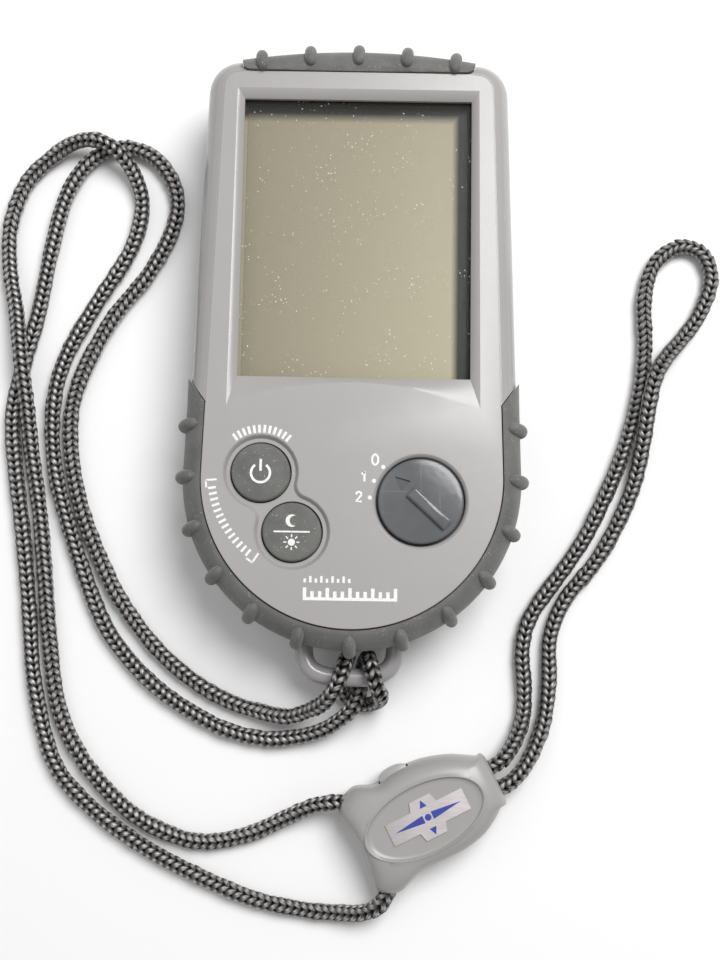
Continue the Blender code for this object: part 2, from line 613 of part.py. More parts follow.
def build_knob(finishes):
    radius = KNOB_RADIUS
    profile = (
        (0, 15.3), (2.2, 15.3), (2.2, 18.2), (10.2, 18.2), (10.2, 19.7), (radius, 19.7), (radius, 22.3),
        (radius - 0.4, 22.75), (radius - 1.1, 22.85), (4.0, 22.45), (0, 22.35),
    )
    knob = solid("alarm_knob", turned(profile, KNOB_AT, 32), finishes["knob"], world(*KNOB_AT, 20.0))
    lean = math.radians(-42.0)
    corners = []
    for u, v in ((-2.9, -1.35), (7.3, -1.35), (7.3, 1.35), (-2.9, 1.35)):
        x = KNOB_AT[0] + u * math.cos(lean) - v * math.sin(lean)
        corners.append((x, KNOB_AT[1] + u * math.sin(lean) + v * math.cos(lean)))
    join(knob, prism(corners, 21.8, 23.9), "knob_bar")
    ring = ((2.5, 15.5), (5.8, 15.5), (5.8, 15.8), (2.5, 15.8))
    solid("knob_wiper", turned_ring(ring, KNOB_AT, 24), finishes["brass"], world(*KNOB_AT, 15.5))
    leaf = prism(rectangle((17.5, -13.2), (21.5, -11.9)), 14.9, 17.9)
    spring = solid("detent_spring", leaf, finishes["steel"])
    cut(spring, prism(rectangle((16.5, -12.9), (21.2, -12.2)), 15.2, 17.6), "leaf_gap")


def lock_point(u, v, z):
    c, s = math.cos(LOCK_TURN), math.sin(LOCK_TURN)
    return Vector((LOCK_AT[0] + u * c - v * s, LOCK_AT[1] + u * s + v * c, z))


def between(a, b, c, d, steps):
    """Points of a smooth curve from b up to c, given the points before and after them."""
    points = []
    for t in np.linspace(0, 1, steps, endpoint=False):
        square = (2 * a - 5 * b + 4 * c - d) * t ** 2
        cube = (3 * b - a - 3 * c + d) * t ** 3
        points.append(0.5 * (2 * b + (c - a) * t + square + cube))
    return points


def smooth_loop(points, steps):
    """A closed smooth curve through flat points."""
    count = len(points)
    curve = []
    for i in range(count):
        curve += between(*(Vector(points[(i + k) % count]) for k in (-1, 0, 1, 2)), steps)
    return [(point.x, point.y) for point in curve]


def lock_loft(levels):
    """A skin through (scale, height) levels of the lock's outline."""
    outline = smooth_loop(LOCK_OUTLINE, 2)
    return loft([[lock_point(u * scale, v * scale, z) for u, v in outline] for scale, z in levels])


def build_lock(finishes):
    front = solid("lock_front_shell", lock_loft((
        (1.0, LOCK_PARTING + GAP / 2), (1.0, 7.6), (0.97, 9.2), (0.9, 10.4), (0.8, LOCK_TOP_Z),
    )), finishes["lock"])
    back = solid("lock_back_shell", lock_loft((
        (0.8, LOCK_BACK_Z), (0.9, 0.7), (0.97, 1.9), (1.0, 3.4), (1.0, LOCK_PARTING - GAP / 2),
    )), finishes["lock"])
    half_u, half_v = LOCK_PANEL_HALF
    panel = [(half_u * math.cos(a), half_v * math.sin(a)) for a in np.radians(np.linspace(0, 345, 24))]
    low = LOCK_TOP_Z - LOCK_PANEL_SINK
    cut(front, loft([[lock_point(u, v, z) for u, v in panel] for z in (low, low + 3)]), "panel_recess")
    plate = ((-8.6, -2.3), (-2.6, -2.3), (-2.6, -4.2), (2.6, -4.2), (2.6, -2.3), (8.6, -2.3))
    plate += tuple((-u, -v) for u, v in plate)
    label = [[lock_point(u, v, z) for u, v in plate] for z in (low + GAP, low + GAP + 0.3)]
    solid("lock_label_plate", loft(label), finishes["label"])
    for number, ((x, y), (dx, dy)) in enumerate(LOCK_LEGS, 1):
        into = Vector((dx, dy, 0)).normalized()
        start = Vector((x, y, LOCK_PARTING))
        socket = bar(start - into * 4, start + into * 5, CORD_RADIUS + 1.5 * GAP)
        cutter = solid(f"leg_socket_{number}", socket, None, cutter=True)
        boolean(front, cutter)
        boolean(back, cutter)
    mouth = [
        lock_point(0, v, 0) + Vector((0, 0, z))
        for v, z in rectangle((-3.8, LOCK_PARTING - 2.1), (4.8, LOCK_PARTING + 2.1), 1.6)
    ]
    shift = [lock_point(u, 0, 0) - lock_point(0, 0, 0) for u in (12.4, 20.0)]
    socket = loft([[point + move for point in mouth] for move in shift])
    cutter = solid("mouth_socket", socket, None, cutter=True)
    boolean(front, cutter)
    boolean(back, cutter)
    build_lock_button(front, back, finishes)


def lock_box(low, high):
    corners = rectangle(low[:2], high[:2])
    return loft([[lock_point(u, v, z) for u, v in corners] for z in (low[2], high[2])])


def build_lock_button(front, back, finishes):
    """The side button and its spring, in a slot that opens at the lock's edge."""
    middle, half = LOCK_BUTTON_U, LOCK_BUTTON_HALF
    slot = lock_box((middle - half - GAP, 0.6, 3.1), (middle + half + GAP, 14.0, 7.9))
    cutter = solid("button_slot", slot, None, cutter=True)
    boolean(front, cutter)
    boolean(back, cutter)
    outline = [(middle - half, 5.5), (middle + half, 5.5)]
    for angle in np.radians((0, 20, 45, 70, 90, 110, 135, 160, 180)):
        outline.append((middle + half * math.cos(angle), 10.6 + 1.3 * math.sin(angle)))
    body = loft([[lock_point(u, v, z) for u, v in outline] for z in (3.4, 7.6)])
    button = solid("lock_button", body, finishes["lock"], lock_point(middle, 8.0, LOCK_PARTING))
    bore = bar(lock_point(middle, 4.5, LOCK_PARTING), lock_point(middle, 8.7, LOCK_PARTING), 1.7)
    cut(button, bore, "spring_bore")
    turns, points = 4, 8
    path = []
    for i in range(turns * points + 1):
        angle = 2 * math.pi * i / points
        v = 1.2 + 5.0 * i / (turns * points)
        path.append(lock_point(middle + 1.1 * math.cos(angle), v, LOCK_PARTING + 1.1 * math.sin(angle)))
    wire("lock_spring", path, 0.25, finishes["steel"])


def wire(name, path, radius, finish, resolution=1):
    """A round wire or cord along world points, with filled ends."""
    curve = bpy.data.curves.new(name, "CURVE")
    curve.dimensions = "3D"
    curve.bevel_depth = radius * MM
    curve.bevel_resolution = resolution
    curve.use_fill_caps = True
    spline = curve.splines.new("POLY")
    spline.points.add(len(path) - 1)
    for point, place in zip(spline.points, path):
        point.co = (*(place * MM), 1.0)
    obj = bpy.data.objects.new(name, curve)
    curve.materials.append(finish)
    bpy.context.scene.collection.objects.link(obj)
    return obj


def smooth_path(route, step):
    """Points about a step apart on a smooth curve through the route's points."""
    points = [Vector(point) for point in route]
    points = [points[0] * 2 - points[1], *points, points[-1] * 2 - points[-2]]
    curve = []
    for a, b, c, d in zip(points, points[1:], points[2:], points[3:]):
        curve += between(a, b, c, d, 24)
    curve.append(points[-2])
    lengths = np.concatenate([[0], np.cumsum([(q - p).length for p, q in zip(curve, curve[1:])])])
    wanted = np.linspace(0, lengths[-1], round(lengths[-1] / step) + 1)
    flat = np.array(curve)
    return [Vector(point) for point in zip(*(np.interp(wanted, lengths, flat[:, k]) for k in range(3)))]


def build_cords(braid):
    wire("neck_cord_a", smooth_path(NECK_A, CORD_STEP), CORD_RADIUS, braid, 2)
    wire("neck_cord_b", smooth_path(NECK_B, CORD_STEP), CORD_RADIUS, braid, 2)
    wire("cord_hitch", smooth_path(HITCH, HITCH_STEP), CORD_RADIUS, braid, 2)
    wire("wrist_cord", smooth_path(WRIST, CORD_STEP), CORD_RADIUS, braid, 2)


def build_battery(finishes):
    for number, y in enumerate(CELLS_Y, 1):
        profile = (
            (0, -22.0), (4.6, -22.0), (CELL_RADIUS, -21.4), (CELL_RADIUS, 20.6),
            (4.6, 21.2), (1.9, 21.2), (1.9, 22.0), (0, 22.0),
        )
        flip = 1 if number == 1 else -1
        bm = turned(profile, (0, -DIAL_Y), 24)
        turn = Matrix.Rotation(math.radians(90 * flip), 4, "Y")
        bmesh.ops.transform(bm, matrix=Matrix.Translation(world(0, y, CELL_Z)) @ turn, verts=bm.verts)
        solid(f"battery_cell_{number}", bm, finishes["cell"])
        path = []
        for i in range(25):
            angle = 2 * math.pi * i / 8
            radius = 1.6 + 1.8 * i / 24
            x = -flip * (22.75 + 3.3 * i / 24)
            path.append(world(x, y + radius * math.cos(angle), CELL_Z + radius * math.sin(angle)))
        wire(f"battery_spring_{number}", path, 0.28, finishes["steel"])
    low, high = CELLS_Y[0] - 4.5, CELLS_Y[1] + 4.5
    for side, x in (("left", -26.9), ("right", 26.6)):
        bm = prism(rectangle((x, low), (x + 0.35, high)), 3.4, 12.4)
        solid(f"battery_contact_{side}", bm, finishes["steel"])


def build_cover(plastic):
    low, high = BAY_LOW + 1.0 + GAP, BAY_HIGH - 1.0 - GAP
    outline = rectangle((-25.5 + GAP, low), (25.5 - GAP, high))
    plate = prism(outline, COVER_Z, COVER_Z + COVER_THICK)
    cover = solid("battery_cover", plate, plastic, world(0, low, COVER_Z))
    for number in range(1, 4):
        edge = high - 7.6 + 1.6 * number
        grip = rectangle((-6.0, edge), (6.0, edge + 0.7))
        cut(cover, prism(grip, COVER_Z - 1, COVER_Z + 0.5), f"cover_grip_{number}")


def build_screws(steel):
    for number, place in enumerate(CASE_SCREWS, 1):
        profile = ((0, 0.9), (1.6, 0.7), (1.85, 1.0), (1.85, 2.4), (0.95, 2.4), (0.95, 17.0), (0, 17.6))
        screw = solid(f"case_screw_{number}", turned(profile, place, 16), steel)
        for name, (x, y) in (("long", (1.2, 0.25)), ("cross", (0.25, 1.2))):
            slot = rectangle((place[0] - x, place[1] - y), (place[0] + x, place[1] + y))
            cut(screw, prism(slot, -0.5, 1.5), f"screw_{name}_{number}")


def make_finishes():
    return {
        "case": material("case_grey", (0.52, 0.51, 0.50), 0.45),
        "rubber": material("rubber_dark", (0.13, 0.13, 0.12), 0.75),
        "loop": material("loop_grey", (0.40, 0.39, 0.39), 0.35),
        "lock": material("lock_grey", (0.32, 0.32, 0.31), 0.4),
        "label": material("label_silver", (0.75, 0.70, 0.68), 0.35, 0.4),
        "knob": material("knob_blue_grey", (0.13, 0.145, 0.155), 0.3),
        "lens": material("clear_lens", (0.9, 0.9, 0.88), 0.05),
        "lcd": material("lcd_green_grey", (0.36, 0.35, 0.27), 0.35),
        "dark": material("dark_plastic", (0.05, 0.05, 0.05), 0.5),
        "white": material("white_plastic", (0.8, 0.8, 0.78), 0.4),
        "pink": material("zebra_rubber", (0.7, 0.45, 0.42), 0.7),
        "board": material("board_green", (0.05, 0.22, 0.1), 0.5),
        "steel": material("steel", (0.6, 0.6, 0.6), 0.3, 1.0),
        "brass": material("brass", (0.75, 0.6, 0.3), 0.3, 1.0),
        "cell": material("cell_jacket", (0.12, 0.16, 0.3), 0.35, 0.3),
        "braid": material("cord_braid", (0.22, 0.22, 0.21), 0.7),
    }


def main():
    clear_scene()
    finishes = make_finishes()
    side, side_room, top_room = build_bumpers(finishes["rubber"])
    front, rear = build_case(finishes["case"], (side_room, top_room))
    build_loop(finishes["loop"], (front, rear, side))
    build_display(finishes)
    build_board(finishes)
    build_buttons(finishes)
    build_knob(finishes)
    build_battery(finishes)
    build_cover(finishes["case"])
    build_screws(finishes["steel"])
    build_lock(finishes)
    build_cords(finishes["braid"])


main()
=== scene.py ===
"""A pocket digital compass with a braided neck lanyard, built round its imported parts.

Run as a script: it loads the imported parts, then builds each piece with the operators listed in
the sidebar. The compass lies on its back: X to the right, Y up the case, Z out of the face.
Sizes inside the makers are in millimetres; as_object() turns them into metres.
"""

import json
import math

import bmesh
import bpy
import numpy as np
from mathutils import Matrix, Vector
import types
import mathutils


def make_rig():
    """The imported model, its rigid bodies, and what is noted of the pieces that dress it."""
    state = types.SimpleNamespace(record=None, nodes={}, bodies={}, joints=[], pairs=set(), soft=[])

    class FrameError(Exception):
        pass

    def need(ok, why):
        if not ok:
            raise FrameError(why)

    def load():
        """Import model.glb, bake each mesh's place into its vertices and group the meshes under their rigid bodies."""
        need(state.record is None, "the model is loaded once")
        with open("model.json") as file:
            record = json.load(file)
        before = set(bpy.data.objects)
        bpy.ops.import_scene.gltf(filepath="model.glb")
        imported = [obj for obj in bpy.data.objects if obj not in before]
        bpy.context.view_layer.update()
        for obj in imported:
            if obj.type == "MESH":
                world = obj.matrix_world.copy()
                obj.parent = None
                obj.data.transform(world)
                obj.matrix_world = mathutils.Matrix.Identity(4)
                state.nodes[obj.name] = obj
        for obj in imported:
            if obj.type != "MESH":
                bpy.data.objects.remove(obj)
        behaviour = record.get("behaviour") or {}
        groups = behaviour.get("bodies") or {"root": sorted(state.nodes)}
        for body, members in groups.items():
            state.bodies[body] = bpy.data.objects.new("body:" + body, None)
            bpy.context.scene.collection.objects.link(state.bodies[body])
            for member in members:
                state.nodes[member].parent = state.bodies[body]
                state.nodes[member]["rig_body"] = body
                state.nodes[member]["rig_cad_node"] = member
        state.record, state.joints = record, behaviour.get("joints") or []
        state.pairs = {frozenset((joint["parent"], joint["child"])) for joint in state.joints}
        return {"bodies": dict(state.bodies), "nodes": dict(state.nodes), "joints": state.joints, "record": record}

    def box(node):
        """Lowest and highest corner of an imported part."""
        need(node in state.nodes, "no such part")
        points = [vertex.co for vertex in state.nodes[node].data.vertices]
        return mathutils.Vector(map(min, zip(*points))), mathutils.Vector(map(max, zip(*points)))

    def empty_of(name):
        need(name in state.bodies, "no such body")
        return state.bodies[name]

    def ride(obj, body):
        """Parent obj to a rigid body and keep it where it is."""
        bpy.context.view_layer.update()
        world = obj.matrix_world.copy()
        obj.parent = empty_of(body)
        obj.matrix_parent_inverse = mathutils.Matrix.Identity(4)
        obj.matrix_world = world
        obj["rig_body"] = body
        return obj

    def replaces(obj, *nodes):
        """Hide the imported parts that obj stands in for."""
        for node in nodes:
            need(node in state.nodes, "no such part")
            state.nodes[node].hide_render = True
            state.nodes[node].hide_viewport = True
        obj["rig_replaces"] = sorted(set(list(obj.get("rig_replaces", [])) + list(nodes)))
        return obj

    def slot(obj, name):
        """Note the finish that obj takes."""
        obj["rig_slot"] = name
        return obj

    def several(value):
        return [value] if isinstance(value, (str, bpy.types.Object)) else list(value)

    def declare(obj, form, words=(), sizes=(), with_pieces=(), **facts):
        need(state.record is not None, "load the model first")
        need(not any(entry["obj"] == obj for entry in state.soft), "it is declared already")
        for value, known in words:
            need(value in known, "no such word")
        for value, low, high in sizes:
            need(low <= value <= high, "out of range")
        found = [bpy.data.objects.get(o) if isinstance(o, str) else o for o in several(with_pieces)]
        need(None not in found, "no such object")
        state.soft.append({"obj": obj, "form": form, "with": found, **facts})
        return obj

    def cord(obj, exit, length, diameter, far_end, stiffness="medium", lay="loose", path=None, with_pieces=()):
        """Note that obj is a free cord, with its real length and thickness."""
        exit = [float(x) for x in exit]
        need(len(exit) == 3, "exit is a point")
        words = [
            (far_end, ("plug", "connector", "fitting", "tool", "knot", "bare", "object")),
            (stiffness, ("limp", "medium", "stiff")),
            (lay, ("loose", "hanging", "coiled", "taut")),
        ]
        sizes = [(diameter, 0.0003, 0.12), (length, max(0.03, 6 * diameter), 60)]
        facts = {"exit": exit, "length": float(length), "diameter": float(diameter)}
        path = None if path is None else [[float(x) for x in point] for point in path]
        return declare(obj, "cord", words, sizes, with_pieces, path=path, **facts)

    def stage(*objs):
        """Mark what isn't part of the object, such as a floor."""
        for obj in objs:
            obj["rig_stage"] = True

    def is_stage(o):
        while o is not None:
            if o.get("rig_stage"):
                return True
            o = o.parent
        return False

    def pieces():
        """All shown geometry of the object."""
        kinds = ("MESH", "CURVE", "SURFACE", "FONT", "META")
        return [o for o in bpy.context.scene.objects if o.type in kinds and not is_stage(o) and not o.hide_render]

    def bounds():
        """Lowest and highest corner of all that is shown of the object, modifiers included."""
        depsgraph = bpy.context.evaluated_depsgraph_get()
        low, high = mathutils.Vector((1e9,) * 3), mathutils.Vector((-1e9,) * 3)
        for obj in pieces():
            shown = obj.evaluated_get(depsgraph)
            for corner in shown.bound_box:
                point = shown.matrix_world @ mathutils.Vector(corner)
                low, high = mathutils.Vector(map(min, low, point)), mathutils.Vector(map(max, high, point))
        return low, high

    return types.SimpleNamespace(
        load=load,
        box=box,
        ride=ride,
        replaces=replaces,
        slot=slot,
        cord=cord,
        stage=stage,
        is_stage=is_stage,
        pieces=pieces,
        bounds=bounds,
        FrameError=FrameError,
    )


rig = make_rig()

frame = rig.load()
PACKED_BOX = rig.bounds()

bl_info = {
    "name": "Digital compass with lanyard",
    "version": (1, 0, 0),
    "blender": (4, 5, 0),
    "location": "View3D > Sidebar > Compass",
    "description": "Builds the pieces, finishes and stage of a hand-held digital compass",
    "category": "Object",
}

MM = 0.001

# Room left between neighbouring pieces, and past the ends of the top bumper, in millimetres.
GAP = 0.3
END_GAP = 0.12


def middle(node):
    """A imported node's centre seen from above, in millimetres."""
    low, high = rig.box(node)
    return (low.x + high.x) / 2 / MM, (low.y + high.y) / 2 / MM


# The case in millimetres. The dial centre is the middle of the face's lower half circle.
DIAL_Y = -25.6
FACE_Z = 22.0
FACE_RADIUS = 30.0
FACE_HALF_TOP = 27.6
FACE_TOP = 86.8
FACE_CORNER = 2.8
SIDE_SLOPE = (FACE_RADIUS - FACE_HALF_TOP) / (FACE_TOP - FACE_CORNER)
FACE_ARC = math.pi * FACE_RADIUS
TOP_CROWN_RADIUS = 145.0
CASE_GROW = 4.1
PARTING_Z = 11.0
WALL = 1.8
WINDOW_HALF = 23.65
WINDOW_LOW = 20.45
WINDOW_HIGH = 79.5
POWER_AT = middle("power_button")
LIGHT_AT = middle("light_button")
KNOB_AT = (13.8, DIAL_Y - 4.7)
KNOB_LEAN = math.radians(-42.0)
SWITCH_STOPS = (138.0, 157.0, 176.5)
MARK_Z = (FACE_Z - 0.05, FACE_Z + 0.03)
LOOP_HALF = 9.4
LOOP_Z = 9.2
LOOP_RADIUS = 1.9
LOOP_BORE_RADIUS = 2.35

# The cord lock: its outline is round its own centre, before its turn. A leg is a strand's place at
# the lock's edge and the way it runs in.
LOCK_AT = (15.85, -93.4)
LOCK_TURN = math.radians(27.0)
LOCK_OUTLINE = (
    (16.5, -4.7), (15.0, -5.2), (13.0, -6.7), (9.5, -8.5), (5.0, -9.4), (0.0, -9.5), (-4.8, -9.3),
    (-8.3, -10.4), (-11.5, -11.2), (-14.8, -9.4), (-14.9, -6.5), (-14.1, -0.3), (-14.7, 4.0),
    (-15.4, 7.5), (-14.3, 9.8), (-10.7, 11.6), (-7.0, 10.3), (-4.8, 10.2), (-2.0, 10.8), (2.0, 10.9),
    (5.8, 10.3), (10.2, 8.8), (13.3, 7.1), (15.2, 6.0), (16.5, 5.6), (16.7, 0.5),
)
LOCK_PARTING = 5.5
LOCK_TOP_FOOT = LOCK_PARTING + GAP / 2
LOCK_BOTTOM_HEAD = LOCK_PARTING - GAP / 2
CORD_BORE_RADIUS = 2.15
LOCK_PANEL_HALF = (12.6, 6.7)

# Rows of the lock's halves from one end of the skin to the other: (share of the way from the outline
# in to the oval, 0, height), or (0, size of the oval, height).
LOCK_TOP_ROWS = (
    (0.1, 0, LOCK_TOP_FOOT), (0, 0, LOCK_TOP_FOOT), (0, 0, 6.6), (0.03, 0, 7.6), (0.12, 0, 8.7),
    (0.3, 0, 9.65), (0.55, 0, 10.3), (0.8, 0, 10.65), (0.97, 0, 10.78), (0, 1.045, 10.92), (0, 1.03, 10.97),
    (0, 1.015, 10.92), (0, 1.0, 10.6), (0, 0.985, 10.42), (0, 0.9, 10.38), (0, 0.5, 10.38),
    (0, 0.1, 10.38),
)
LOCK_BOTTOM_ROWS = (
    (0, 0.1, 0.2), (0, 0.9, 0.2), (0.9, 0, 0.25), (0.45, 0, 0.6), (0.2, 0, 1.25), (0.06, 0, 2.2),
    (0, 0, 3.4), (0, 0, LOCK_BOTTOM_HEAD), (0.1, 0, LOCK_BOTTOM_HEAD),
)
LABEL_SHIFT = 0.7
LOCK_PIECES = ("lock_top", "lock_bottom", "lock_label", "lock_label_marks", "lock_button_cap")
LOCK_LEGS = (((-0.2, -90.9), (1.0, 0.05)), ((8.7, -108.5), (0.45, 0.89)))

CAMERA_AT = (1.61, -61.44)

# Each lamp's name, place and width in metres, and watts; it shines at the origin.
LAMPS = (
    ("window_light", (0.32, 0.36, 0.85), 0.6, 8.8),
    ("fill_light", (-0.45, 0.1, 0.8), 0.8, 0.9),
)

CORD_REST_Z = 1.8

# Cord routes in millimetres: (x, y, z), or (x, y) where the cord lies on the table.
NECK_A = (
    (-8.4, -72.4, 7.5), (-12.5, -73.7, 5.0), (-18.0, -73.0, 2.7), (-25.0, -71.0), (-32.5, -67.0),
    (-40.5, -60.5), (-47.5, -52.0), (-52.0, -44.5), (-58.0, -30.5), (-61.0, -16.0), (-60.0, -4.0),
    (-53.5, 10.5), (-45.5, 21.5), (-40.5, 32.0), (-40.2, 40.5), (-45.0, 47.8), (-52.5, 50.3),
    (-59.5, 46.9), (-64.3, 39.0), (-67.0, 27.0), (-69.3, 12.0), (-71.9, 1.0), (-73.8, -10.5),
    (-72.6, -22.5), (-70.2, -37.0), (-68.2, -52.5), (-66.3, -68.0), (-61.7, -83.5), (-54.2, -92.4),
    (-43.0, -100.4), (-31.0, -106.4), (-19.0, -111.1), (-8.0, -113.2), (-1.5, -113.5, 2.4),
    (3.4, -113.2, 4.1), (6.6, -111.7, 5.3), (8.1, -109.7, 5.5), (9.5, -106.9, 5.5),
)
NECK_B = (
    (-3.1, -75.2, 4.4), (-6.2, -76.8, 3.4), (-10.5, -78.0, 2.3), (-17.0, -78.6), (-25.0, -77.0),
    (-32.5, -73.5), (-40.5, -68.3), (-47.5, -61.5), (-53.0, -53.5), (-59.5, -37.5), (-64.0, -22.5),
    (-65.1, -9.0), (-63.0, 2.0), (-57.0, 14.0), (-49.8, 26.5), (-47.5, 36.5), (-49.3, 43.5, 2.8),
    (-52.8, 48.0, 5.2), (-57.0, 50.3, 5.6), (-61.8, 50.5, 4.4), (-67.0, 48.2, 2.5), (-73.2, 42.0),
    (-76.3, 32.5), (-76.0, 22.5, 2.2), (-73.5, 11.5, 4.2), (-71.8, 1.5, 5.5), (-70.4, -7.5, 4.4),
    (-69.2, -18.5, 2.2), (-67.0, -31.0), (-65.3, -44.0), (-63.7, -57.5), (-61.0, -72.5),
    (-55.5, -83.3), (-46.6, -92.8), (-38.0, -97.8), (-29.5, -99.8), (-20.0, -98.0),
    (-12.5, -94.5, 2.6), (-7.0, -91.9, 4.4), (-2.6, -91.0, 5.5), (2.6, -90.76, 5.5),
)
HITCH = (
    (-5.4, -70.9, 10.4), (-3.3, -68.6, 12.6), (-1.8, -65.5, 13.2), (-0.9, -62.6, 12.1),
    (-0.4, -61.4, 9.2), (-0.8, -62.6, 6.2), (-1.3, -65.3, 5.1), (-1.3, -68.0, 3.6),
    (0.6, -70.6, 1.9), (3.6, -71.2, 2.0), (6.2, -70.3, 4.4), (6.6, -69.1, 8.0), (6.1, -68.3, 11.7),
    (5.0, -65.0, 13.3), (4.2, -62.3, 12.1), (3.9, -61.2, 9.2), (3.3, -62.5, 6.2), (2.6, -65.4, 5.2),
    (2.1, -68.6, 5.5), (0.6, -72.0, 5.6),
)
WRIST = (
    (27.2, -84.7, 5.5), (31.8, -82.0, 5.2), (34.6, -78.4, 3.6), (36.6, -73.2, 1.9), (36.9, -67.0),
    (36.5, -59.0), (38.6, -51.5), (46.6, -40.2), (51.3, -32.5), (57.8, -18.0), (61.8, -4.5),
    (63.3, 6.5), (63.3, 17.5), (65.6, 25.4), (71.0, 29.5), (76.2, 27.9), (78.0, 22.0), (75.3, 14.3),
    (71.3, 8.6, 2.0), (67.6, 4.2, 3.5), (64.8, -0.5, 5.4), (63.2, -7.0, 5.6), (62.2, -15.0, 4.0),
    (60.2, -24.5, 2.1), (56.0, -34.0), (51.6, -41.1), (45.6, -48.5), (42.4, -56.5), (42.1, -66.0),
    (40.9, -74.5, 2.0), (37.7, -81.8, 3.8), (33.8, -86.3, 5.3), (29.0, -88.5, 5.5),
)

# Bumper sections as (growth outside the face outline, height) pairs.
SIDE_SECTION = (
    (0.55, 21.7), (1.6, 21.45), (3.0, 20.3), (4.1, 18.4), (4.6, 16.2), (4.4, 13.6),
    (3.7, 11.2), (3.5, 7.4), (2.4, 6.2), (2.4, 11.0), (2.4, 17.3), (1.2, 19.4), (0.55, 19.9),
)
TOP_SECTION = (
    (-1.5, 22.3), (0.4, 22.6), (2.6, 21.4), (4.2, 18.8), (4.7, 16.2), (4.5, 13.6),
    (3.7, 11.2), (3.5, 7.4), (2.4, 6.2), (2.4, 11.0), (2.4, 17.3), (0.9, 19.6), (-1.5, 20.9),
)
SIDE_POCKET = ((0.25, 24.0), (8.0, 24.0), (8.0, 5.7), (2.1, 5.7), (2.1, 17.2), (1.0, 19.2), (0.25, 19.6))
TOP_POCKET = ((-1.68, 24.0), (8.0, 24.0), (8.0, 5.7), (2.1, 5.7), (2.1, 17.2), (0.7, 19.3), (-1.68, 20.6))
SIDE_NUB = ((1.5, 21.4), (3.2, 20.25), (4.4, 18.4), (4.9, 16.3), (4.6, 14.4), (3.9, 12.6))
TOP_NUB = ((-0.3, 22.4), (1.0, 22.55), (2.7, 21.6), (4.2, 19.4), (4.9, 16.9), (4.7, 14.6), (3.9, 12.6))
SIDE_BUMPER_TOP = 17.6
SIDE_NUB_ABOVE = 10.6
SIDE_NUB_PITCH = 18.0
SIDE_END_SKEW = 1.4
TOP_END_RISE = 1.9
TOP_BUMPER_HALF = 23.9
TOP_NUB_PITCH = 9.95


# ---------------------------------------------------------------- shapes


def world(x, y, z):
    """A point counted from the dial centre, as a point in millimetres."""
    return Vector((x, y + DIAL_Y, z))


def between(a, b, c, d, steps):
    """Points of a smooth curve from b up to c, given the points before and after them."""
    points = []
    for t in np.linspace(0, 1, steps, endpoint=False):
        square = (2 * a - 5 * b + 4 * c - d) * t ** 2
        cube = (3 * b - a - 3 * c + d) * t ** 3
        points.append(0.5 * (2 * b + (c - a) * t + square + cube))
    return points


def smooth_loop(points, steps):
    """A closed smooth curve through flat points."""
    count = len(points)
    curve = []
    for i in range(count):
        curve += between(*(Vector(points[(i + k) % count]) for k in (-1, 0, 1, 2)), steps)
    return [(point.x, point.y) for point in curve]


def smooth_line(points, steps):
    """An open smooth curve through points of any size."""
    points = [Vector(point) for point in points]
    ends = [points[0] * 2 - points[1], *points, points[-1] * 2 - points[-2]]
    curve = []
    for a, b, c, d in zip(ends, ends[1:], ends[2:], ends[3:]):
        curve += between(a, b, c, d, steps)
    return [*curve, points[-1]]


def even_path(route, step):
    """Points a step apart on a smooth curve through the route's points."""
    curve = smooth_line([(*point, CORD_REST_Z)[:3] for point in route], 24)
    lengths = np.concatenate([[0], np.cumsum([(q - p).length for p, q in zip(curve, curve[1:])])])
    wanted = np.linspace(0, lengths[-1], round(lengths[-1] / step) + 1)
    flat = np.array(curve)
    return [Vector(point) for point in zip(*(np.interp(wanted, lengths, flat[:, k]) for k in range(3)))]


def skin(bm, rows):
    """Faces between neighbouring rows of vertices; a row of one vertex closes to a point."""
    count = max(len(row) for row in rows)
    faces = []
    for row, after in zip(rows, rows[1:]):
        for i in range(count):
            j = (i + 1) % count
            corners = [row[i % len(row)], row[j % len(row)], after[j % len(after)], after[i % len(after)]]
            faces.append(bm.faces.new(list(dict.fromkeys(corners))))
    return faces


def loft(rings, closed_path=False):
    """A bmesh skin over equal rings of points, closed by caps or back onto its first ring."""
    bm = bmesh.new()
    rows = [[bm.verts.new(point) for point in ring] for ring in rings]
    skin(bm, [*rows, rows[0]] if closed_path else rows)
    if not closed_path:
        bm.faces.new(rows[0])
        bm.faces.new(rows[-1])
    return bm


def turned(profile, center, count=96):
    """A solid of revolution about Z through a point; profile is (radius, z) from one pole to the other."""
    bm = bmesh.new()
    rows = []
    for radius, z in profile:
        if radius == 0:
            rows.append([bm.verts.new((*center, z))])
        else:
            rows.append([bm.verts.new((x, y, z)) for x, y in circle(center, radius, count)])
    skin(bm, rows)
    return bm


def around(count):
    """Even angles all the way round."""
    return np.linspace(0, 2 * math.pi, count, endpoint=False)


def on_circle(center, radius, angle):
    return center[0] + radius * math.cos(angle), center[1] + radius * math.sin(angle)


def circle(center, radius, count=96):
    return [on_circle(center, radius, angle) for angle in around(count)]


def sweep(center, radius, first, last, count):
    """Points on part of a circle, from one angle in degrees to another."""
    return [on_circle(center, radius, angle) for angle in np.radians(np.linspace(first, last, count))]


def rectangle(low, high, corner, steps=6):
    """A rectangle with round corners, counter-clockwise."""
    centers = (
        (low[0] + corner, low[1] + corner, 180),
        (high[0] - corner, low[1] + corner, 270),
        (high[0] - corner, high[1] - corner, 0),
        (low[0] + corner, high[1] - corner, 90),
    )
    points = []
    for x, y, first in centers:
        points += sweep((x, y), corner, first, first + 90, steps)
    return points


def prism(outline, low, high):
    return loft([[(x, y, z) for x, y in outline] for z in (low, high)])


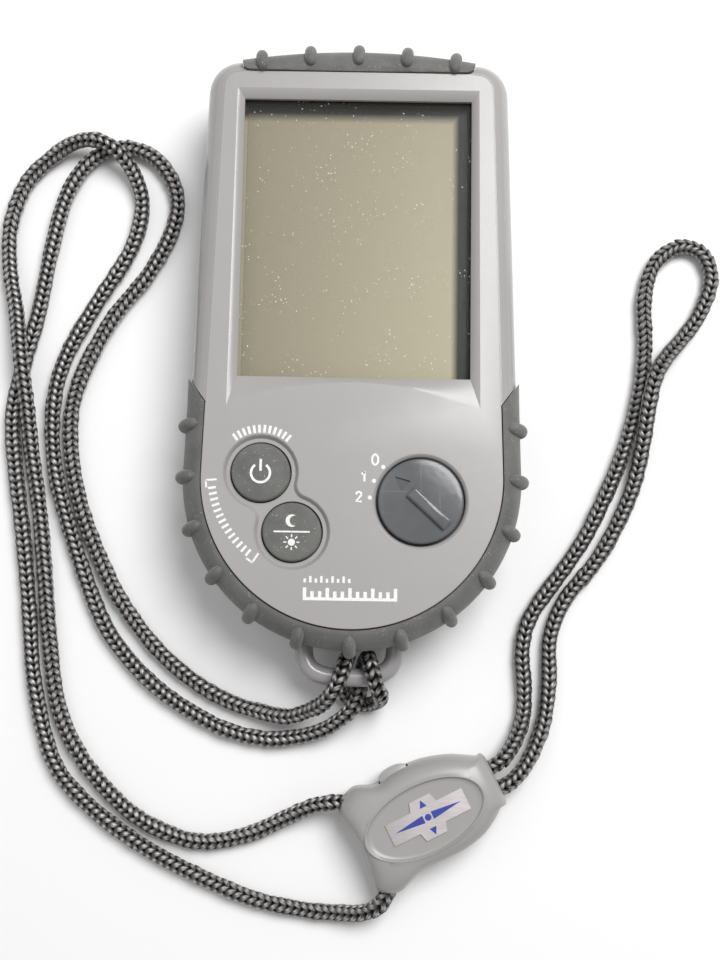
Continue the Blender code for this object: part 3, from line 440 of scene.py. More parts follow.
def tube(path, radii, count=16):
    """A round tube along points, with its own radius at each; both ends are closed."""
    rings = []
    side = None
    for i, point in enumerate(path):
        along = (path[min(i + 1, len(path) - 1)] - path[max(i - 1, 0)]).normalized()
        if side is None:
            side = along.orthogonal().normalized()
        side = (side - along * side.dot(along)).normalized()
        other = along.cross(side)
        rings.append([
            point + side * (radii[i] * math.cos(a)) + other * (radii[i] * math.sin(a))
            for a in around(count)
        ])
    return loft(rings)


def face_outline(grow, fine=4):
    """The face's outline grown outwards: lower half circle, tapering sides, round corners, crowned top."""
    radius = FACE_RADIUS + grow
    half = FACE_HALF_TOP + grow
    corner = FACE_CORNER + grow
    top = FACE_TOP + grow
    corner_y = top - corner - (half - corner) ** 2 / (2 * TOP_CROWN_RADIUS)
    points = sweep((0, 0), radius, 180, 360, 24 * fine + 1)
    side = [(radius - SIDE_SLOPE * y, y) for y in np.linspace(0, corner_y, 4 * fine + 1)[1:]]
    points += side
    inner = half - corner
    points += sweep((inner, corner_y), corner, 0, 84, 4 * fine + 1)[1:]
    for x in np.linspace(inner, -inner, 6 * fine + 1)[1:-1]:
        points.append((x, top - x * x / (2 * TOP_CROWN_RADIUS)))
    points += sweep((-inner, corner_y), corner, 96, 180, 4 * fine + 1)[:-1]
    points += [(-x, y) for x, y in reversed(side)]
    return points


def shell_loft(section):
    """A closed skin through (growth, height) steps of the face outline."""
    return loft([[world(x, y, z) for x, y in face_outline(grow)] for grow, z in section])


def side_station(s):
    """A point on the face outline and its outward direction, s mm along it from the left side's foot."""
    if s < 0:
        return (-FACE_RADIUS - SIDE_SLOPE * s, -s), (-1.0, 0.0)
    if s > FACE_ARC:
        return (FACE_RADIUS - SIDE_SLOPE * (s - FACE_ARC), s - FACE_ARC), (1.0, 0.0)
    angle = math.pi + s / FACE_RADIUS
    out = (math.cos(angle), math.sin(angle))
    return (FACE_RADIUS * out[0], FACE_RADIUS * out[1]), out


def top_station(s):
    lean = -s / TOP_CROWN_RADIUS
    return (-s, FACE_TOP - s * s / (2 * TOP_CROWN_RADIUS)), (math.sin(lean), math.cos(lean))


def top_rise(s, half, inset, rise):
    """How far the top bumper's inner edge steps outwards: it runs straight, with a round at each end."""
    t = min(1.0, max(0.0, (abs(s) - half + inset) / inset))
    return s * s / (2 * TOP_CROWN_RADIUS) + rise * (1 - (1 - t ** 2.6) ** (1 / 2.6))


def bumper_ring(station, section, skew=0.0, rise=0.0, most=9.0):
    (x, y), out = station
    first = min(grow for grow, z in section)
    ring = []
    for grow, z in section:
        grow = min(most, max(grow, first + rise + 0.01 * (grow - first)))
        ring.append(world(x + out[0] * grow, y + out[1] * grow + skew * (grow - 2.4), z))
    return ring


def figure_eight(first, second, radius, fillet, steps=24):
    """Outline round two circles, with a filleted waist on both sides."""
    a, b = Vector(first), Vector(second)
    center = (a + b) / 2
    half = (b - a).length / 2
    along = (b - a).normalized()
    across = Vector((-along.y, along.x))
    reach = math.sqrt((radius + fillet) ** 2 - half * half)
    lean = math.atan2(reach, half)

    def arc(middle_point, size, start, stop):
        points = []
        for angle in np.linspace(start, stop, steps):
            point = middle_point + along * (size * math.cos(angle)) + across * (size * math.sin(angle))
            points.append((point.x, point.y))
        return points

    points = arc(a, radius, lean, 2 * math.pi - lean)
    points += arc(center - across * reach, fillet, math.pi - lean, lean)[1:-1]
    points += arc(b, radius, lean - math.pi, math.pi - lean)
    points += arc(center + across * reach, fillet, -lean, lean - math.pi)[1:-1]
    return points


def lock_point(u, v, z):
    c, s = math.cos(LOCK_TURN), math.sin(LOCK_TURN)
    return Vector((LOCK_AT[0] + u * c - v * s, LOCK_AT[1] + u * s + v * c, z))


def lock_plate(outline, low, high):
    return loft([[lock_point(u, v, z) for u, v in outline] for z in (low, high)])


def bar(start, end, radius, count=48):
    """A round bar between two points."""
    start, end = Vector(start), Vector(end)
    return tube([start, end], [radius, radius], count)


def joined(*parts):
    """One bmesh of several; each part is freed."""
    bm = bmesh.new()
    for part in parts:
        mesh = bpy.data.meshes.new("joining")
        part.to_mesh(mesh)
        part.free()
        bm.from_mesh(mesh)
        bpy.data.meshes.remove(mesh)
    return bm


# ---------------------------------------------------------------- objects


def linked(name, data):
    """A new object of the data, in the scene."""
    obj = bpy.data.objects.new(name, data)
    bpy.context.scene.collection.objects.link(obj)
    return obj


def smoothed(mesh, sharp):
    mesh.shade_smooth()
    mesh.set_sharp_from_angle(angle=math.radians(sharp))


def as_object(name, bm, finish=None, sharp=35.0, helper=False):
    """Turns a bmesh in millimetres into an object in metres, smooth except over sharp edges."""
    bmesh.ops.recalc_face_normals(bm, faces=bm.faces)
    bmesh.ops.transform(bm, matrix=Matrix.Scale(MM, 4), verts=bm.verts)
    mesh = bpy.data.meshes.new(name)
    bm.to_mesh(mesh)
    bm.free()
    smoothed(mesh, sharp)
    obj = linked(name, mesh)
    obj.hide_render = helper
    if finish:
        mesh.materials.append(finish)
    return obj


def settle(obj, sharp=35.0):
    """Replaces an object's mesh by the result of its modifiers, and removes them and their helpers."""
    helpers = {step.object for step in obj.modifiers if step.type == "BOOLEAN"}
    graph = bpy.context.evaluated_depsgraph_get()
    mesh = bpy.data.meshes.new_from_object(obj.evaluated_get(graph), depsgraph=graph)
    obj.modifiers.clear()
    if obj.type == "MESH":
        obj.data = mesh
    else:
        name = obj.name
        bpy.data.objects.remove(obj)
        obj = linked(name, mesh)
    for helper in helpers:
        bpy.data.objects.remove(helper)
    smoothed(mesh, sharp)
    return obj


def shape_with(obj, bm, operation="DIFFERENCE"):
    """Cuts a bmesh out of an object, or joins it on; settle() makes it final."""
    step = obj.modifiers.new(operation.lower(), "BOOLEAN")
    step.operation = operation
    step.object = as_object("tool", bm, helper=True)
    step.solver = "EXACT"


def fit(obj, body, slot, *nodes):
    """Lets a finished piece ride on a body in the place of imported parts."""
    if len(obj.data.polygons) < 4:
        raise RuntimeError(f"{obj.name} came out empty")
    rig.ride(obj, body)
    if nodes:
        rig.replaces(obj, *nodes)
    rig.slot(obj, slot)


def piece(name, bm, body, slot, *nodes, finish=None):
    """A finished piece straight from a bmesh; its finish is its slot's unless another is named."""
    fit(as_object(name, bm, FINISHES[finish or slot]), body, slot, *nodes)


# ---------------------------------------------------------------- finishes


class Finish:
    """A material under construction: short calls add nodes and link them."""

    def __init__(self, name, color, roughness, metallic=0.0):
        self.material = bpy.data.materials.new(name)
        self.material.use_nodes = True
        self.material.diffuse_color = (*color, 1.0)
        self.tree = self.material.node_tree
        self.shader = self.tree.nodes["Principled BSDF"]
        self.set("Base Color", (*color, 1.0))
        self.set("Roughness", roughness)
        self.set("Metallic", metallic)
        self.place = self.tree.nodes.new("ShaderNodeTexCoord").outputs["Object"]
        self.bumps = None

    def set(self, socket, value):
        self.shader.inputs[socket].default_value = value

    def node(self, kind, **values):
        made = self.tree.nodes.new(kind)
        for name, value in values.items():
            setattr(made, name, value)
        return made

    def link(self, start, end):
        self.tree.links.new(start, end)

    def noise(self, size_mm, detail=2.0, stretch=None, place=None):
        """Noise with features of about size_mm; stretch squeezes it along an axis."""
        place = place or self.place
        if stretch:
            stretched = self.node("ShaderNodeMapping")
            stretched.inputs["Scale"].default_value = stretch
            self.link(place, stretched.inputs["Vector"])
            place = stretched.outputs["Vector"]
        made = self.node("ShaderNodeTexNoise")
        made.inputs["Scale"].default_value = 1 / (size_mm * MM)
        made.inputs["Detail"].default_value = detail
        self.link(place, made.inputs["Vector"])
        return made.outputs["Fac"]

    def specks(self, spacing_mm, share):
        """Scattered specks, 1 inside and 0 outside; share is a speck's radius against the spacing."""
        cells = self.node("ShaderNodeTexVoronoi")
        cells.inputs["Scale"].default_value = 1 / (spacing_mm * MM)
        self.link(self.place, cells.inputs["Vector"])
        return self.ramp(cells.outputs["Distance"], (share * 0.6, 1.0), (share, 0.0))

    def ramp(self, value, start, end):
        """Maps value from start = (in, out) to end = (in, out), held outside them."""
        made = self.node("ShaderNodeMapRange")
        for name, number in (
            ("From Min", start[0]), ("To Min", start[1]), ("From Max", end[0]), ("To Max", end[1])
        ):
            made.inputs[name].default_value = number
        self.link(value, made.inputs["Value"])
        return made.outputs["Result"]

    def math(self, operation, first, second):
        made = self.node("ShaderNodeMath", operation=operation)
        for socket, value in zip(made.inputs, (first, second)):
            if isinstance(value, (int, float)):
                socket.default_value = value
            else:
                self.link(value, socket)
        return made.outputs["Value"]

    def mix(self, factor, first, second):
        """A colour between two; each is a colour or an output."""
        made = self.node("ShaderNodeMix", data_type="RGBA")
        for socket, value in ((made.inputs[6], first), (made.inputs[7], second)):
            if isinstance(value, bpy.types.NodeSocket):
                self.link(value, socket)
            else:
                socket.default_value = (*value, 1.0)
        if isinstance(factor, bpy.types.NodeSocket):
            self.link(factor, made.inputs[0])
        else:
            made.inputs[0].default_value = factor
        return made.outputs[2]

    def patches(self, size_mm, detail=2.0, first=0.3, last=0.7, most=1.0):
        """Soft patches of about size_mm: 0 where the noise is under first, most where it is over last."""
        return self.ramp(self.noise(size_mm, detail), (first, 0.0), (last, most))

    def dust(self, spacing_mm, share, patch_mm, first, last, most):
        """Specks that gather in patches."""
        patches = self.patches(patch_mm, 2.0, first, last, most)
        return self.math("MULTIPLY", self.specks(spacing_mm, share), patches)

    def axes(self, vector=None):
        """The X, Y and Z outputs of a vector, or else of the place on the object in metres."""
        parts = self.node("ShaderNodeSeparateXYZ")
        self.link(vector or self.place, parts.inputs[0])
        return parts.outputs

    def color(self, output):
        self.drive("Base Color", output)

    def roughness(self, value, low, high, first=0.3, last=0.7):
        """Roughness from low to high as the value goes from first to last."""
        self.drive("Roughness", self.ramp(value, (first, low), (last, high)))

    def drive(self, socket, output):
        self.link(output, self.shader.inputs[socket])

    def bump(self, height, depth_mm, strength=1.0):
        """Adds relief of about depth_mm over the relief before it."""
        made = self.node("ShaderNodeBump")
        made.inputs["Strength"].default_value = strength
        made.inputs["Distance"].default_value = depth_mm * MM
        self.link(height, made.inputs["Height"])
        if self.bumps:
            self.link(self.bumps, made.inputs["Normal"])
        self.bumps = made.outputs["Normal"]
        self.drive("Normal", self.bumps)


def scaled(color, factor):
    return tuple(min(1.0, part * factor) for part in color)


DARK = (0.01, 0.01, 0.01)
DULL_GLOSS = 0.12


def moulded_plastic(name, color, roughness, gloss=0.5, specks=0.0, coat=0.0):
    """Satin moulded plastic: fine grain, slow colour drift, rub marks and a little dust."""
    made = Finish(name, color, roughness)
    tone = made.mix(made.patches(30.0, 3.0), scaled(color, 0.98), scaled(color, 1.02))
    if specks:
        tone = made.mix(made.dust(2.6, 0.05, 9.0, 0.52, 0.6, specks), tone, (0.85, 0.83, 0.78))
    made.color(tone)
    made.roughness(made.noise(4.0, 4.0), roughness - 0.015, roughness + 0.025)
    made.bump(made.noise(0.22, 3.0), 0.012)
    made.set("Specular IOR Level", gloss)
    made.bump(made.noise(5.0, 1.0), 0.03)
    made.set("Coat Weight", coat)
    made.set("Coat Roughness", 0.2)
    return made.material


def dark_rubber(name, color):
    """Matt rubber with a coarse skin and clinging dust."""
    made = Finish(name, color, 0.72)
    tone = made.mix(made.patches(6.0, 4.0), scaled(color, 0.85), scaled(color, 1.2))
    made.color(made.mix(made.dust(0.6, 0.2, 2.2, 0.42, 0.6, 0.6), tone, (0.62, 0.60, 0.54)))
    made.roughness(made.noise(2.0), 0.6, 0.8)
    made.bump(made.noise(0.35, 3.0), 0.05)
    made.set("Sheen Weight", 0.25)
    made.set("Sheen Roughness", 0.5)
    return made.material


def gloss_plastic(name, color, roughness):
    """Semi-gloss plastic with hair scratches that run across each other."""
    made = Finish(name, color, roughness)
    hairs = []
    for size, stretch in ((1.2, (0.05, 1.0, 1.0)), (1.0, (1.0, 0.06, 1.0))):
        hairs.append(made.ramp(made.noise(size, 2.0, stretch), (0.66, 0.0), (0.72, 1.0)))
    scratch = made.math("MAXIMUM", *hairs)
    tone = made.mix(made.patches(8.0, 3.0, 0.35, 0.65), scaled(color, 0.92), scaled(color, 1.1))
    made.color(made.mix(made.math("MULTIPLY", scratch, 0.04), tone, (0.6, 0.6, 0.6)))
    made.roughness(scratch, roughness, roughness + 0.07, first=0.0, last=1.0)
    made.bump(made.noise(2.5, 1.0), 0.02)
    return made.material


def display_glass(name, color):
    """The warm grey back of an idle display, with painted light that makes it brighter to the lower right and a
    painted shadow under two window edges.
    """
    made = Finish(name, color, 0.32)
    made.set("Specular IOR Level", DULL_GLOSS)
    place = made.axes()
    # Painted light: the display's colour grows lighter towards the lower right.
    across = made.ramp(place["X"], (-0.024, 0.0), (0.022, 1.0))
    down = made.ramp(place["Y"], (0.052, 0.5), (-0.006, 1.0))
    tone = made.mix(made.math("MULTIPLY", across, down), scaled(color, 0.86), scaled(color, 1.55))
    tone = made.mix(made.math("MULTIPLY", made.patches(0.3), 0.1), tone, scaled(color, 1.5))
    tone = made.mix(made.dust(1.3, 0.12, 6.0, 0.48, 0.58, 0.7), tone, (0.75, 0.72, 0.6))
    # Painted shadow: dark bands where the window's top and right walls shade the display.
    top = made.ramp(place["Y"], (0.0502, 0.0), (0.0523, 1.0))
    right = made.ramp(place["X"], (0.0198, 0.0), (0.0213, 1.0))
    made.color(made.mix(made.math("MAXIMUM", top, right), tone, scaled(DARK, 0.4)))
    made.roughness(made.noise(3.0), 0.28, 0.4)
    return made.material


def display_frame(name, color):
    """The dark frame round the display, with painted warm light in the display's colour on its left wall."""
    made = Finish(name, DARK, 0.55)
    made.set("Specular IOR Level", DULL_GLOSS)
    place = made.axes()
    # Painted light: the lower part of the left wall takes the display's warm colour.
    left = made.ramp(place["X"], (-0.0225, 1.0), (-0.0215, 0.0))
    low = made.ramp(place["Y"], (0.0498, 1.0), (0.0515, 0.0))
    made.color(made.mix(made.math("MULTIPLY", left, low), DARK, scaled(color, 1.2)))
    return made.material


def clear_window(name):
    """Clear acrylic, faintly dusty; it is thin, so it shows mostly as gloss."""
    made = Finish(name, (0.9, 0.9, 0.86), 0.06)
    made.drive("Alpha", made.math("ADD", made.dust(1.2, 0.13, 7.0, 0.5, 0.6, 0.7), 0.02))
    made.set("Specular IOR Level", 0.3)
    made.roughness(made.noise(5.0), 0.04, 0.12)
    made.material.blend_method = "BLEND"
    return made.material


def bright_metal(name, color):
    """Metal with a faint grain along X."""
    made = Finish(name, color, 0.3, metallic=1.0)
    lines = made.noise(0.4, 2.0, stretch=(0.1, 1.0, 1.0))
    made.color(made.mix(lines, scaled(color, 0.85), color))
    made.roughness(lines, 0.24, 0.4)
    return made.material


def silver_label(name):
    """Silver printed film with a fine brushed look."""
    color = (0.52, 0.49, 0.485)
    made = Finish(name, color, 0.5, metallic=0.1)
    lines = made.noise(0.5, 3.0, stretch=(0.2, 1.0, 1.0))
    brushed = made.ramp(lines, (0.3, 0.0), (0.7, 1.0))
    made.color(made.mix(brushed, scaled(color, 0.93), scaled(color, 1.06)))
    made.bump(lines, 0.01)
    return made.material


def print_ink(name, color):
    """Printed ink, a little worn at its thin spots."""
    made = Finish(name, color, 0.5)
    made.color(made.mix(made.patches(0.5, 3.0, 0.35, 0.5), scaled(color, 0.85), color))
    made.bump(made.noise(0.3), 0.01)
    return made.material


def nylon_yarn(name, color):
    """Shiny braided yarn: filaments along each stitch, painted shade where it dives, and painted highlights on its
    crests, stronger on the left.
    """
    made = Finish(name, color, 0.36)
    uv = made.node("ShaderNodeUVMap", uv_map="stitch").outputs["UV"]
    along = made.axes(uv)["Y"]
    filament = made.noise(70.0, 3.0, stretch=(2.4, 0.25, 1.0), place=uv)
    middle_out = made.math("ABSOLUTE", made.math("SUBTRACT", along, 0.5), 0.0)
    # Painted shade where a stitch dives under its neighbours; the same mask also lowers its gloss there.
    dive_shade = made.ramp(middle_out, (0.12, 0.0), (0.42, 1.0))
    tone = made.mix(made.ramp(filament, (0.35, 0.0), (0.65, 1.0)), scaled(color, 0.75), scaled(color, 1.2))
    tone = made.mix(made.patches(14.0, 2.0, 0.35, 0.65, 0.4), tone, scaled(color, 0.6))
    # Painted highlights on the stitch crests, stronger towards the left.
    left_highlight = made.ramp(made.axes()["X"], (-0.05, 1.0), (0.03, 0.5))
    crest = made.math("MULTIPLY", made.ramp(middle_out, (0.02, 1.0), (0.2, 0.0)), left_highlight)
    crest = made.math("MULTIPLY", crest, made.ramp(filament, (0.4, 0.0), (0.6, 1.0)))
    tone = made.mix(crest, tone, scaled(color, 6.0))
    made.color(made.mix(dive_shade, tone, scaled(color, 0.06)))
    made.roughness(filament, 0.22, 0.36)
    made.bump(filament, 0.05)
    made.drive("Specular IOR Level", made.ramp(dive_shade, (0.0, 1.0), (1.0, 0.05)))
    made.drive("Coat Weight", made.ramp(dive_shade, (0.0, 0.8), (1.0, 0.0)))
    made.set("Coat Roughness", 0.16)
    return made.material


FINISHES = {}


def make_finishes(colors):
    """Fills FINISHES with every material, under its own name."""
    look = {name: tuple(getattr(colors, name)) for name in CompassColors.__annotations__}
    for maker, name, *values in (
        (moulded_plastic, "case_grey", look["case"], 0.3, 0.5, 0.5, 0.45),
        (dark_rubber, "rubber_dark", look["rubber"]),
        (moulded_plastic, "loop_grey", look["loop"], 0.24, 0.5, 0.0, 0.6),
        (moulded_plastic, "lock_grey", look["lock"], 0.34, 0.5, 0.0, 0.2),
        (silver_label, "label_silver"),
        (gloss_plastic, "knob_blue_grey", look["knob"], 0.13),
        # Painted shade for the floor of the knob's engraved arrowhead.
        (moulded_plastic, "arrow_grey", (0.06, 0.062, 0.065), 0.35),
        (clear_window, "clear_lens"),
        (display_glass, "lcd_green_grey", look["display"]),
        (display_frame, "lcd_bezel", look["display"]),
        (moulded_plastic, "dark_plastic", DARK, 0.55, DULL_GLOSS),
        (moulded_plastic, "white_plastic", (0.8, 0.8, 0.78), 0.4),
        (dark_rubber, "zebra_rubber", (0.7, 0.45, 0.42)),
        (gloss_plastic, "board_green", (0.05, 0.22, 0.1), 0.45),
        (bright_metal, "steel", (0.6, 0.6, 0.6)),
        (bright_metal, "brass", (0.75, 0.6, 0.3)),
        (gloss_plastic, "cell_jacket", (0.12, 0.16, 0.3), 0.35),
        (nylon_yarn, "cord_braid", look["yarn"]),
        # The core shows only in the gaps between stitches; its near-black colour is painted shade there.
        (moulded_plastic, "cord_core", scaled(DARK, 0.5), 0.9, 0.05),
        (print_ink, "white_ink", (0.86, 0.86, 0.84)),
        (print_ink, "blue_ink", (0.03, 0.05, 0.33)),
    ):
        FINISHES[name] = maker(name, *values)


# ---------------------------------------------------------------- node trees that repeat a shape


def new_tree(name, inputs):
    """A geometry node tree with named inputs, each (name, kind, default)."""
    tree = bpy.data.node_groups.new(name, "GeometryNodeTree")
    tree.interface.new_socket("Geometry", in_out="INPUT", socket_type="NodeSocketGeometry")
    tree.interface.new_socket("Geometry", in_out="OUTPUT", socket_type="NodeSocketGeometry")
    for label, kind, default in inputs:
        socket = tree.interface.new_socket(label, in_out="INPUT", socket_type=kind)
        if default is not None:
            socket.default_value = default
    return tree


def add(tree, kind, values=None, **properties):
    """Adds a node; values are its inputs by name, each a number, a vector or an output to link."""
    made = tree.nodes.new(kind)
    for name, value in properties.items():
        setattr(made, name, value)
    for name, value in (values or {}).items():
        socket = made.inputs[name]
        if isinstance(value, bpy.types.NodeSocket):
            tree.links.new(value, socket)
        else:
            socket.default_value = value
    return made


def calc(tree, operation, *values):
    """A maths node's result."""
    return add(tree, "ShaderNodeMath", dict(enumerate(values)), operation=operation).outputs[0]


def object_shape(tree, source):
    return add(tree, "GeometryNodeObjectInfo", {"Object": source}).outputs["Geometry"]


def copies(tree, points, shape, turn, scale):
    """Copies of a shape on points."""
    return add(tree, "GeometryNodeInstanceOnPoints", {
        "Points": points, "Instance": shape, "Rotation": turn, "Scale": scale,
    }).outputs["Instances"]


def turn_from(tree, angles):
    """A rotation from the angles about X and Z, each a number or an output."""
    vector = add(tree, "ShaderNodeCombineXYZ", angles).outputs[0]
    return add(tree, "FunctionNodeEulerToRotation", {0: vector}).outputs[0]


def realised(tree, geometry):
    return add(tree, "GeometryNodeRealizeInstances", {"Geometry": geometry}).outputs["Geometry"]


def painted(tree, geometry, material):
    made = add(tree, "GeometryNodeSetMaterial", {"Geometry": geometry, "Material": material})
    return made.outputs[0]


def together(tree, *parts):
    """Several geometries as one real mesh."""
    both = add(tree, "GeometryNodeJoinGeometry")
    for part in parts:
        tree.links.new(part, both.inputs[0])
    return realised(tree, both.outputs[0])


def run_tree(obj, tree, values):
    """Adds the tree to an object as a modifier, with its inputs set by socket identifier."""
    step = obj.modifiers.new(tree.name, "NODES")
    step.node_group = tree
    for item in tree.interface.items_tree:
        if item.in_out == "INPUT" and item.name in values:
            step[item.identifier] = values[item.name]


def plait_tree():
    """A braid along a curve: a dark core, and rings of slanting stitches at an even pitch."""
    tree = new_tree("plait", (
        ("Pitch", "NodeSocketFloat", 0.0015),
        ("Columns", "NodeSocketInt", 6),
        ("Ring Radius", "NodeSocketFloat", 0.00132),
        ("Core Radius", "NodeSocketFloat", 0.0013),
        ("Slant", "NodeSocketFloat", math.radians(35.0)),
        ("Stitch", "NodeSocketObject", None),
        ("Yarn", "NodeSocketMaterial", None),
        ("Core", "NodeSocketMaterial", None),
    ))
    given = add(tree, "NodeGroupInput").outputs
    ring = add(tree, "GeometryNodeMeshCircle", {
        "Vertices": given["Columns"], "Radius": given["Ring Radius"],
    }).outputs["Mesh"]
    index = add(tree, "GeometryNodeInputIndex").outputs["Index"]
    side = calc(tree, "MULTIPLY_ADD", calc(tree, "MODULO", index, 2.0), 2.0, -1.0)
    slant = calc(tree, "MULTIPLY", side, given["Slant"])
    turn = calc(tree, "MULTIPLY", index, calc(tree, "DIVIDE", 2 * math.pi, given["Columns"]))
    lean = turn_from(tree, {"X": slant, "Z": turn})
    stitches = realised(tree, copies(tree, ring, object_shape(tree, given["Stitch"]), lean, (1, 1, 1)))
    path = add(tree, "GeometryNodeCurveToPoints", {
        "Curve": given["Geometry"], "Length": given["Pitch"],
    }, mode="LENGTH").outputs
    aim = add(tree, "FunctionNodeAlignRotationToVector", {"Vector": path["Tangent"]}, axis="Z").outputs[0]
    aim = add(tree, "FunctionNodeAlignRotationToVector", {
        "Rotation": aim, "Vector": path["Normal"],
    }, axis="X", pivot_axis="Z").outputs[0]
    size = add(tree, "FunctionNodeRandomValue", {2: 0.94, 3: 1.06, "Seed": 7}, data_type="FLOAT").outputs[1]
    braid = realised(tree, copies(tree, path["Points"], stitches, aim, size))
    outline = add(tree, "GeometryNodeCurvePrimitiveCircle", {
        "Resolution": 10, "Radius": given["Core Radius"],
    })
    core = add(tree, "GeometryNodeCurveToMesh", {
        "Curve": given["Geometry"], "Profile Curve": outline.outputs["Curve"], "Fill Caps": True,
    }).outputs["Mesh"]
    both = together(tree, painted(tree, core, given["Core"]), painted(tree, braid, given["Yarn"]))
    add(tree, "NodeGroupOutput", {0: both})
    return tree


def edge_row_tree():
    """Copies of one shape on points that each say how far they turn, joined to a body."""
    tree = new_tree("edge_row", (
        ("Shape", "NodeSocketObject", None),
        ("Body", "NodeSocketObject", None),
        ("Size", "NodeSocketFloat", 1.0),
        ("Finish", "NodeSocketMaterial", None),
    ))
    given = add(tree, "NodeGroupInput").outputs
    shape, body = (object_shape(tree, given[name]) for name in ("Shape", "Body"))
    turn = add(tree, "GeometryNodeInputNamedAttribute", {"Name": "turn"}, data_type="FLOAT")
    turn = turn_from(tree, {"Z": turn.outputs["Attribute"]})
    row = copies(tree, given["Geometry"], shape, turn, given["Size"])
    add(tree, "NodeGroupOutput", {0: painted(tree, together(tree, row, body), given["Finish"])})
    return tree


def points_object(name, places):
    """A mesh of loose points (point in millimetres, turn) for edge_row_tree()."""
    mesh = bpy.data.meshes.new(name)
    mesh.from_pydata([Vector(point) * MM for point, turn in places], [], [])
    turns = mesh.attributes.new("turn", "FLOAT", "POINT")
    turns.data.foreach_set("value", [turn for point, turn in places])
    return linked(name, mesh)


def row_of(name, places, shape, body, finish):
    """One piece made of a body and copies of a shape at places; both helpers are used up."""
    obj = points_object(name, places)
    tree = bpy.data.node_groups.get("edge_row") or edge_row_tree()
    run_tree(obj, tree, {"Shape": shape, "Body": body, "Finish": finish})
    obj = settle(obj)
    bpy.data.objects.remove(shape)
    if body:
        bpy.data.objects.remove(body)
    return obj


# ---------------------------------------------------------------- sizes and colours


def length(label, description, default, low, high):
    return bpy.props.FloatProperty(
        name=label, description=description, default=default, min=low, max=high,
        subtype="DISTANCE", unit="LENGTH")


def angle(label, description, degrees, **limits):
    return bpy.props.FloatProperty(
        name=label, description=description, default=math.radians(degrees),
        subtype="ANGLE", unit="ROTATION", **limits)


class CompassSizes(bpy.types.PropertyGroup):
    cord_diameter: length("Cord diameter", "Thickness of the braided cord", 0.0034, 0.002, 0.006)
    stitch_pitch: length("Stitch pitch", "From one row of stitches to the next", 0.00155, 0.001, 0.004)
    stitch_slant: angle("Stitch slant", "Angle between a stitch and the cord", 34.0, min=0.1, max=1.2)
    nub_width: length("Nub width", "Width of the round nubs on the bumpers", 0.0025, 0.001, 0.005)
    camera_height: length("Camera height", "Height of the camera over the table", 0.28628, 0.1, 1.0)
    camera_tilt: angle("Camera tilt", "How far the camera leans from looking straight down", 7.6)
    camera_roll: angle("Camera roll", "Turn of the picture about its middle", 0.94)


def color_property(label, description, value):
    return bpy.props.FloatVectorProperty(
        name=label, description=description, default=value, min=0.0, max=1.0, size=3, subtype="COLOR")


class CompassColors(bpy.types.PropertyGroup):
    case: color_property("Case", "Moulded case plastic", (0.365, 0.352, 0.344))
    rubber: color_property("Rubber", "Bumpers and buttons", (0.125, 0.125, 0.118))
    loop: color_property("Loop", "Lanyard loop", (0.36, 0.35, 0.35))
    lock: color_property("Lock", "Cord lock", (0.345, 0.335, 0.33))
    knob: color_property("Knob", "Turning switch", (0.122, 0.126, 0.13))
    display: color_property("Display", "Idle display", (0.29, 0.262, 0.185))
    yarn: color_property("Yarn", "Braided yarn", (0.115, 0.109, 0.106))


# ---------------------------------------------------------------- makers


class CompassPiece:
    """What every maker shares: execute() runs build() with the sizes and reports the end."""

    bl_options = {"REGISTER", "UNDO"}

    def execute(self, context):
        self.build(context.scene.compass_sizes)
        return {"FINISHED"}


class COMPASS_OT_finishes(CompassPiece, bpy.types.Operator):
    """Make the finishes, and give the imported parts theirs"""

    bl_idname = "compass.finishes"
    bl_label = "Finishes"

    def build(self, sizes):
        make_finishes(bpy.context.scene.compass_colors)
        for part in frame["record"]["subparts"]:
            node = frame["nodes"][part["node"]]
            node.data.materials.clear()
            node.data.materials.append(FINISHES.get(part["node"], FINISHES[part["material_slot"]]))


class COMPASS_OT_camera(CompassPiece, bpy.types.Operator):
    """Set the camera over the compass"""

    bl_idname = "compass.camera"
    bl_label = "Camera"

    def build(self, sizes):
        data = bpy.data.cameras.new("camera")
        data.lens = 50.0
        data.sensor_fit = "VERTICAL"
        data.sensor_height = 36.0
        camera = linked("camera", data)
        tilt, roll = sizes.camera_tilt, sizes.camera_roll
        level = Vector((1, 0, 0))
        upward = Vector((0, math.cos(tilt), math.sin(tilt)))
        right = level * math.cos(roll) + upward * math.sin(roll)
        up = upward * math.cos(roll) - level * math.sin(roll)
        turn = Matrix((right, up, right.cross(up))).transposed()
        place = Vector((CAMERA_AT[0] * MM, CAMERA_AT[1] * MM, sizes.camera_height))
        camera.matrix_world = Matrix.Translation(place) @ turn.to_4x4()
        bpy.context.scene.camera = camera


